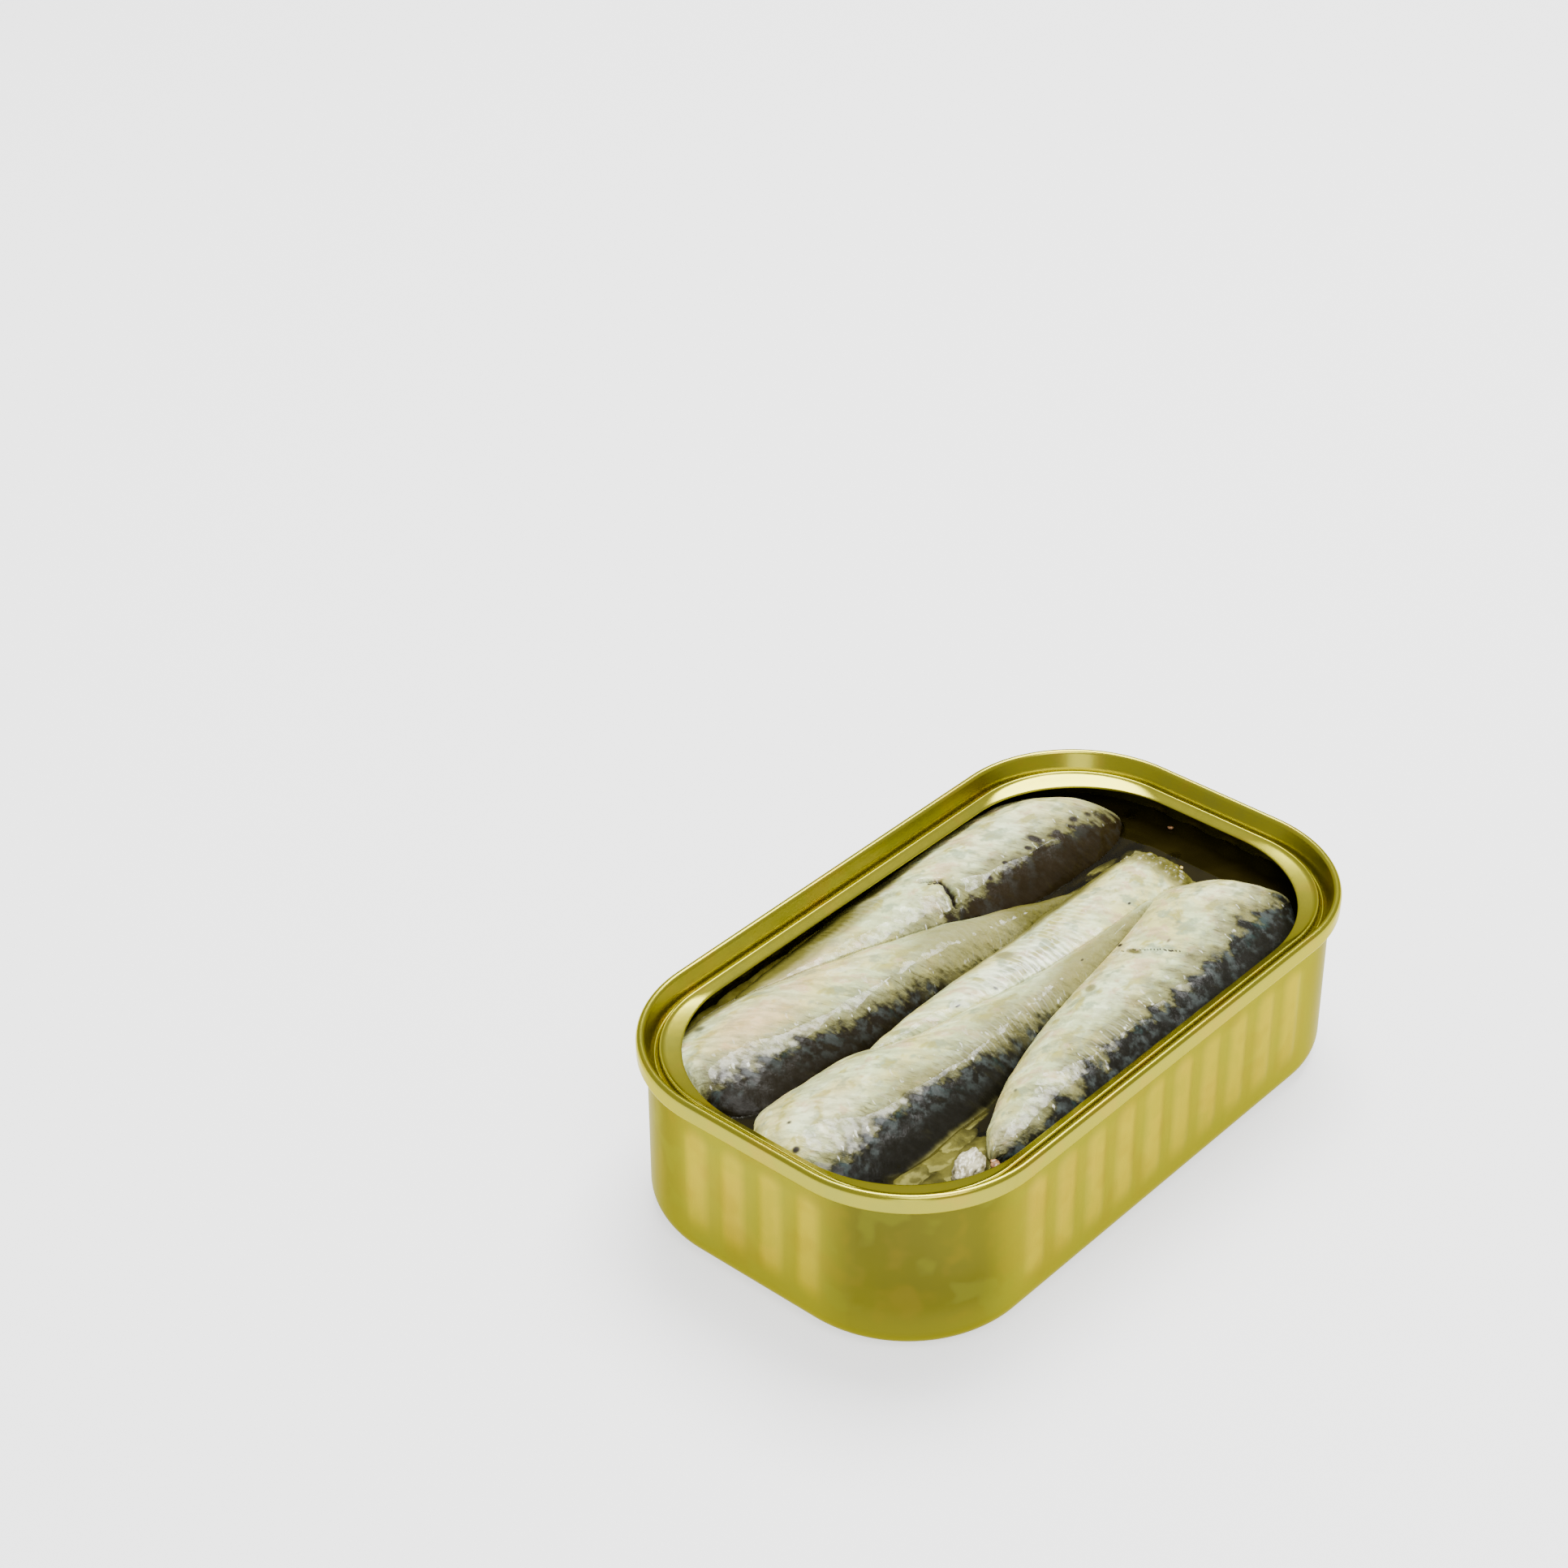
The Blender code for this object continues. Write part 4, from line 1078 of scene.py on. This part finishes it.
def make_fish_mesh(name, ball_mesh):
    """One fish with its skin relief, tears and painted marks, shaped from a ball."""
    shape = SHAPES[name]
    mesh = ball_mesh.copy()
    mesh.name = name
    ball = read_points(mesh)
    spun = np.arctan2(ball[:, 1], ball[:, 0])
    lower_start = math.pi - 2 * math.pi * UPPER_SHARE
    angle = np.where(
        spun >= lower_start,
        (spun - lower_start) / (2 * UPPER_SHARE),
        (spun + math.pi) / (2 * (1 - UPPER_SHARE)) - math.pi,
    )
    rise = np.clip(ball[:, 2], -1.0, 1.0)
    way = 0.25 * rise + 0.75 * np.arcsin(rise) / (math.pi / 2)
    x = (shape.left + shape.right) / 2 + (shape.right - shape.left) / 2 * way
    share = (1 + np.cos(angle)) / 2
    across = shape.across(x, share)
    write_points(mesh, shape.skin(x, angle))
    if signed_volume(mesh) < 0:
        mesh.flip_normals()
    normals = np.empty(len(mesh.vertices) * 3)
    mesh.vertices.foreach_get("normal", normals)
    normals = normals.reshape(-1, 3)

    places = read_points(mesh)
    marks = {kind: blobs(shape.data[kind], x, share) for kind in (*MARKS, "scales")}
    relief = 0.24 * uneven(places, 9.0) + 0.15 * uneven(places + 50.0, 3.2)
    relief += 0.025 * uneven(places + 90.0, 1.1)
    relief += 0.05 * uneven(places * (0.3, 1.0, 1.0) + 30.0, 1.8)
    bow = (across - SCALE_BOW_CENTRE) ** 2 * SCALE_BOW
    relief += marks["scales"] * 0.035 * np.sin(x * SCALE_ROWS + bow + 4.5)
    for line, half_width, depth in TEARS.get(name, ()):
        line_x, line_share = (np.array(part, dtype=float) for part in zip(*line))
        points = list(zip(line_x, shape.across(line_x, line_share)))
        away = line_distance(x + 0.35 * uneven(places + 20.0, 0.8), across, points)
        cut = 1 - step(away, 0.2 * half_width, half_width)
        lip = np.exp(-((away - 1.7 * half_width) / half_width) ** 2)
        relief += 0.22 * lip * depth - depth * cut
        marks["dark"] = np.maximum(marks["dark"], 0.95 * cut)
    if "ragged" in shape.data:
        start, amount = shape.data["ragged"]
        torn = step(x, start, start + 4.0)
        relief += amount * torn * (uneven(places * (0.5, 1.0, 1.0), 1.3) + 0.6 * uneven(places, 0.7) - 0.3)
    relief *= end_size(np.minimum(x - shape.left, shape.right - x), 2.0)
    places = places + normals * relief[:, None]

    places = press_under(places, [SHAPES[other] for other in LIES_UNDER[name]]) * MM
    sizes = tin()
    places = keep_inside(places, sizes.wall_inset + sizes.sheet + WALL_CLEARANCE)
    near_rim = rim_distance(places[:, 0], places[:, 1])
    ceiling = np.where(near_rim < LEDGE_REACH, CEILING_UNDER_LEDGE, CEILING)
    places[:, 2] = np.clip(places[:, 2], FISH_FLOOR * MM, ceiling)
    write_points(mesh, places)

    paint(mesh, "skin", np.stack([x, across, share], axis=1))
    paint(mesh, "marks", np.stack([marks[kind] for kind in MARKS], axis=1))
    paint(mesh, "scales", marks["scales"])
    paint(mesh, "brown", np.full(len(x), shape.data["brown"]))
    paint(mesh, "teeth", np.full(len(x), shape.data["teeth"]))
    return mesh


def highest_skin(x, y):
    """Highest skin of the fish and the sunk bits over plan places, or the fish floor, in millimetres."""
    heights = [shape.height(x, y, upper=True) for shape in SHAPES.values()]
    for bit_x, bit_y, bit_z, half_length, half_width, half_height in SUNK_BITS + FLOATING_SKIN:
        away = ((x - bit_x) / half_length) ** 2 + ((y - bit_y) / half_width) ** 2
        top = bit_z + half_height * np.sqrt(np.maximum(1 - away, 0.0))
        heights.append(np.where(away < 1, top, np.nan))
    return np.nan_to_num(np.fmax.reduce(heights), nan=FISH_FLOOR)


def make_oil_mesh():
    """Body of oil that reaches just into the wall, with its depth painted on the surface."""
    sizes = tin()
    inset = sizes.wall_inset + sizes.sheet / 2
    counts = [int(round(side / OIL_CELL)) for side in (sizes.length, sizes.width)]
    bm = bmesh.new()
    bmesh.ops.create_grid(bm, x_segments=counts[0], y_segments=counts[1], size=0.5)
    bmesh.ops.transform(bm, matrix=Matrix.Diagonal((sizes.length, sizes.width, 1.0, 1.0)), verts=bm.verts)
    plan = np.array([vert.co[:2] for vert in bm.verts])
    outside = rim_distance(plan[:, 0], plan[:, 1]) < inset - 0.6 * OIL_CELL
    bmesh.ops.delete(bm, geom=[vert for vert, out in zip(bm.verts[:], outside) if out], context="VERTS")
    plan = np.array([tuple(vert.co) for vert in bm.verts])
    distance = rim_distance(plan[:, 0], plan[:, 1])
    border = {vert for edge in bm.edges if edge.is_boundary for vert in edge.verts}
    core_x, core_y = straight_halves()
    for vert, away in zip(bm.verts, distance):
        if vert in border:
            core = Vector((min(max(vert.co.x, -core_x), core_x), min(max(vert.co.y, -core_y), core_y), 0.0))
            vert.co += (vert.co - core).normalized() * (away - inset)
    for vert in bm.verts:
        vert.co.z = sizes.oil_level
    edges = [edge for edge in bm.edges if edge.is_boundary]
    for z, drawn_in in ((sizes.foot_radius + 1.0 * MM, 1.0), (1.0 * MM, 0.94)):
        grown = bmesh.ops.extrude_edge_only(bm, edges=edges)["geom"]
        edges = [part for part in grown if isinstance(part, bmesh.types.BMEdge)]
        for part in grown:
            if isinstance(part, bmesh.types.BMVert):
                part.co = (part.co.x * drawn_in, part.co.y * drawn_in, z)
    bmesh.ops.edgeloop_fill(bm, edges=edges)
    mesh = new_mesh("oil_body", bm, sharp_angle=40.0)

    places = read_points(mesh)
    on_top = places[:, 2] > sizes.oil_level - 0.1 * MM
    skin = highest_skin(places[:, 0] / MM, places[:, 1] / MM) * MM
    depth = np.maximum(sizes.oil_level - skin, 0.0)
    near_wall = np.exp(-(rim_distance(places[:, 0], places[:, 1]) - inset) / (0.7 * MM))
    climb = np.maximum(FISH_CLIMB * np.exp(-depth / (0.8 * MM)), WALL_CLIMB * near_wall)
    ripple = OIL_RIPPLE * uneven(places / MM, 11.0)
    places[:, 2] += np.where(on_top, climb + ripple, 0.0)
    write_points(mesh, places)
    cover = 1 - np.exp(-depth / sizes.oil_clearing)
    paint(mesh, "depth", np.where(on_top, cover, 1.0))
    return mesh


def lump(bm, centre, half_size, turn, seed, roughness=0.25, subdivisions=3):
    """Add an uneven lump to a bmesh. Centre and half size are in millimetres."""
    grown = bmesh.ops.create_icosphere(bm, subdivisions=subdivisions, radius=1.0)["verts"]
    matrix = Matrix.Translation(Vector(centre) * MM) @ Matrix.Rotation(turn, 4, "Z")
    for vert in grown:
        spot = vert.co * 1.4 + Vector((seed * 3.7, seed * 1.3, 0.0))
        rise = noise.noise(spot) + 0.5 * noise.noise(spot * 2.7) + 0.25 * noise.noise(spot * 6.1)
        size = 1 + roughness * rise
        vert.co = matrix @ (Vector(half * part for half, part in zip(half_size, vert.co)) * MM * size)


class TIN_OT_draw_body(bpy.types.Operator):
    """Draw the fluted body of the tin"""

    bl_idname = "sardine_tin.draw_body"
    bl_label = "Draw Body"

    def execute(self, context):
        lacquer = lacquer_finish("gold_lacquer_wall", on_wall=True)
        piece = add_piece("drawn_body", make_body_mesh(), lacquer, "gold_lacquer", "can_body")
        shell = piece.modifiers.new("sheet", "SOLIDIFY")
        shell.thickness = tin().sheet
        shell.offset = -1
        return {"FINISHED"}


class TIN_OT_roll_seam(bpy.types.Operator):
    """Roll the double seam and the ledge that the peeled lid leaves"""

    bl_idname = "sardine_tin.roll_seam"
    bl_label = "Roll Seam"

    def execute(self, context):
        lacquer = lacquer_finish("gold_lacquer_seam", on_wall=False)
        add_piece("seam_and_ledge", make_ring_mesh(), lacquer, "gold_lacquer", "lid_ring")
        return {"FINISHED"}


class TIN_OT_lay_fish(bpy.types.Operator):
    """Lay the five fish"""

    bl_idname = "sardine_tin.lay_fish"
    bl_label = "Lay Fish"

    def execute(self, context):
        skin = skin_finish()
        ball = make_ball_mesh()
        for name in FISH:
            add_piece(f"{name}_skin", make_fish_mesh(name, ball), skin, "fish_skin", name)
        bpy.data.meshes.remove(ball)
        return {"FINISHED"}


class TIN_OT_pour_oil(bpy.types.Operator):
    """Pour the oil round the fish"""

    bl_idname = "sardine_tin.pour_oil"
    bl_label = "Pour Oil"

    def execute(self, context):
        add_piece("oil_body", make_oil_mesh(), oil_finish(), "olive_oil", "oil")
        return {"FINISHED"}


class TIN_OT_place_flake(bpy.types.Operator):
    """Place the loose flake of flesh"""

    bl_idname = "sardine_tin.place_flake"
    bl_label = "Place Flake"

    def execute(self, context):
        bm = bmesh.new()
        lump(bm, FLAKE_CENTRE, FLAKE_HALF_SIZE, FLAKE_TURN, seed=4, roughness=0.32, subdivisions=5)
        finish = flesh_finish("white_flesh", (0.52, 0.49, 0.32), (0.22, 0.19, 0.09), 700.0)
        add_piece("loose_flake", new_mesh("loose_flake", bm), finish, "fish_flesh", "flake")
        return {"FINISHED"}


class TIN_OT_scatter_crumbs(bpy.types.Operator):
    """Scatter the crumbs and the bits sunk in the oil"""

    bl_idname = "sardine_tin.scatter_crumbs"
    bl_label = "Scatter Crumbs"

    def execute(self, context):
        seed = context.scene.stage_settings.crumb_seed
        crumb_kinds = (
            ("gold_crumbs", GOLD_CRUMBS, ((0.72, 0.55, 0.16), (0.4, 0.28, 0.05))),
            ("brown_crumbs", BROWN_CRUMBS, ((0.42, 0.22, 0.08), (0.14, 0.05, 0.02))),
        )
        for name, crumbs, (pale, deep) in crumb_kinds:
            bm = bmesh.new()
            for index, (x, y, z, size) in enumerate(crumbs):
                lump(bm, (x, y, z), (size, size * 0.7, size * 0.45), seed + index * 1.9, seed + index, 0.5, 2)
            add_piece(name, new_mesh(name, bm), flesh_finish(name, pale, deep, 1500.0), "fish_flesh")
        bit_kinds = (
            ("sunk_bits", SUNK_BITS, 0.25, ((0.24, 0.23, 0.12), (0.07, 0.065, 0.025))),
            # Pale colours of the floating skin are painted light, making up for the shade under the ledge.
            ("floating_skin", FLOATING_SKIN, 0.05, ((0.92, 0.88, 0.50), (0.50, 0.45, 0.18))),
        )
        inset = tin().wall_inset + tin().sheet + BIT_CLEARANCE
        for name, bits, turn, (pale, deep) in bit_kinds:
            bm = bmesh.new()
            for index, (x, y, z, *half_size) in enumerate(bits):
                lump(bm, (x, y, z), half_size, turn * math.sin(index * 2.3), seed + index * 2, 0.22, 4)
            mesh = new_mesh(name, bm)
            write_points(mesh, keep_inside(read_points(mesh), inset))
            add_piece(name, mesh, flesh_finish(name, pale, deep, 260.0), "fish_flesh")
        return {"FINISHED"}


def add_area_lamp(name, power, size, place):
    """Square soft white lamp that faces the tin."""
    lamp = bpy.data.lights.new(name, "AREA")
    lamp.energy = power
    lamp.size = size
    item = bpy.data.objects.new(name, lamp)
    item.location = place
    item.rotation_euler = (LAMP_TARGET - Vector(place)).to_track_quat("-Z", "Y").to_euler()
    bpy.context.scene.collection.objects.link(item)


class TIN_OT_set_stage(bpy.types.Operator):
    """Set up the floor, the lamps and the photograph's camera"""

    bl_idname = "sardine_tin.set_stage"
    bl_label = "Set Stage"

    def execute(self, context):
        settings = context.scene.stage_settings
        bm = bmesh.new()
        bmesh.ops.create_grid(bm, x_segments=8, y_segments=8, size=3.0)
        bmesh.ops.translate(bm, vec=(0.0, 0.0, -0.05 * MM), verts=bm.verts)
        mesh = bpy.data.meshes.new("floor")
        bm.to_mesh(mesh)
        bm.free()
        floor = bpy.data.objects.new("floor", mesh)
        context.scene.collection.objects.link(floor)
        finish = Finish("pale_floor", base_color=settings.floor_colour, roughness=0.7)
        finish.plug((1.0, 1.0, 1.0), finish.shader.inputs["Emission Color"])
        finish.plug(settings.floor_glow, finish.shader.inputs["Emission Strength"])
        mesh.materials.append(finish.material)

        world = context.scene.world or bpy.data.worlds.new("studio")
        context.scene.world = world
        world.use_nodes = True
        background = world.node_tree.nodes["Background"]
        background.inputs["Color"].default_value = (1.0, 1.0, 1.0, 1.0)
        background.inputs["Strength"].default_value = settings.world_strength
        for name, size, place in LAMPS:
            add_area_lamp(name, getattr(settings, f"{name}_power"), size, place)

        level = math.cos(PITCH)
        forward = Vector((level * math.sin(YAW), level * math.cos(YAW), math.sin(PITCH)))
        right = forward.cross(Vector((0.0, 0.0, 1.0))).normalized()
        up = right.cross(forward)
        right, up = right * math.cos(ROLL) + up * math.sin(ROLL), up * math.cos(ROLL) - right * math.sin(ROLL)
        camera = bpy.data.objects.new("camera", bpy.data.cameras.new("camera"))
        camera.data.lens = LENS
        camera.data.sensor_width = SENSOR
        turn = Matrix((right, up, -forward)).transposed().to_4x4()
        turn.translation = EYE
        camera.matrix_world = turn
        context.scene.collection.objects.link(camera)
        context.scene.camera = camera
        return {"FINISHED"}


OPERATORS = (
    TIN_OT_draw_body,
    TIN_OT_roll_seam,
    TIN_OT_lay_fish,
    TIN_OT_pour_oil,
    TIN_OT_place_flake,
    TIN_OT_scatter_crumbs,
    TIN_OT_set_stage,
)
SETTINGS = {"tin_sizes": TinSizes, "finish_colours": FinishColours, "stage_settings": StageSettings}


class TIN_PT_dresser(bpy.types.Panel):
    """Sizes, colours and pieces of the tin"""

    bl_idname = "TIN_PT_dresser"
    bl_label = "Sardine Tin"
    bl_space_type = "VIEW_3D"
    bl_region_type = "UI"
    bl_category = "Sardine Tin"

    def draw(self, context):
        for name, group in SETTINGS.items():
            box = self.layout.box()
            for key in group.__annotations__:
                box.prop(getattr(context.scene, name), key)
        for operator in OPERATORS:
            self.layout.operator(operator.bl_idname)


def register():
    """Add the settings, operators and panel."""
    for group in SETTINGS.values():
        bpy.utils.register_class(group)
    for cls in (*OPERATORS, TIN_PT_dresser):
        bpy.utils.register_class(cls)
    for name, group in SETTINGS.items():
        setattr(bpy.types.Scene, name, PointerProperty(type=group))


def unregister():
    """Take the settings, operators and panel out again."""
    for name in SETTINGS:
        delattr(bpy.types.Scene, name)
    for cls in (TIN_PT_dresser, *OPERATORS, *SETTINGS.values()):
        bpy.utils.unregister_class(cls)


def main():
    """Register the dresser and run its steps to dress the tin."""
    register()
    for operator in OPERATORS:
        group, name = operator.bl_idname.split(".")
        getattr(getattr(bpy.ops, group), name)()


if __name__ == "__main__":
    main()
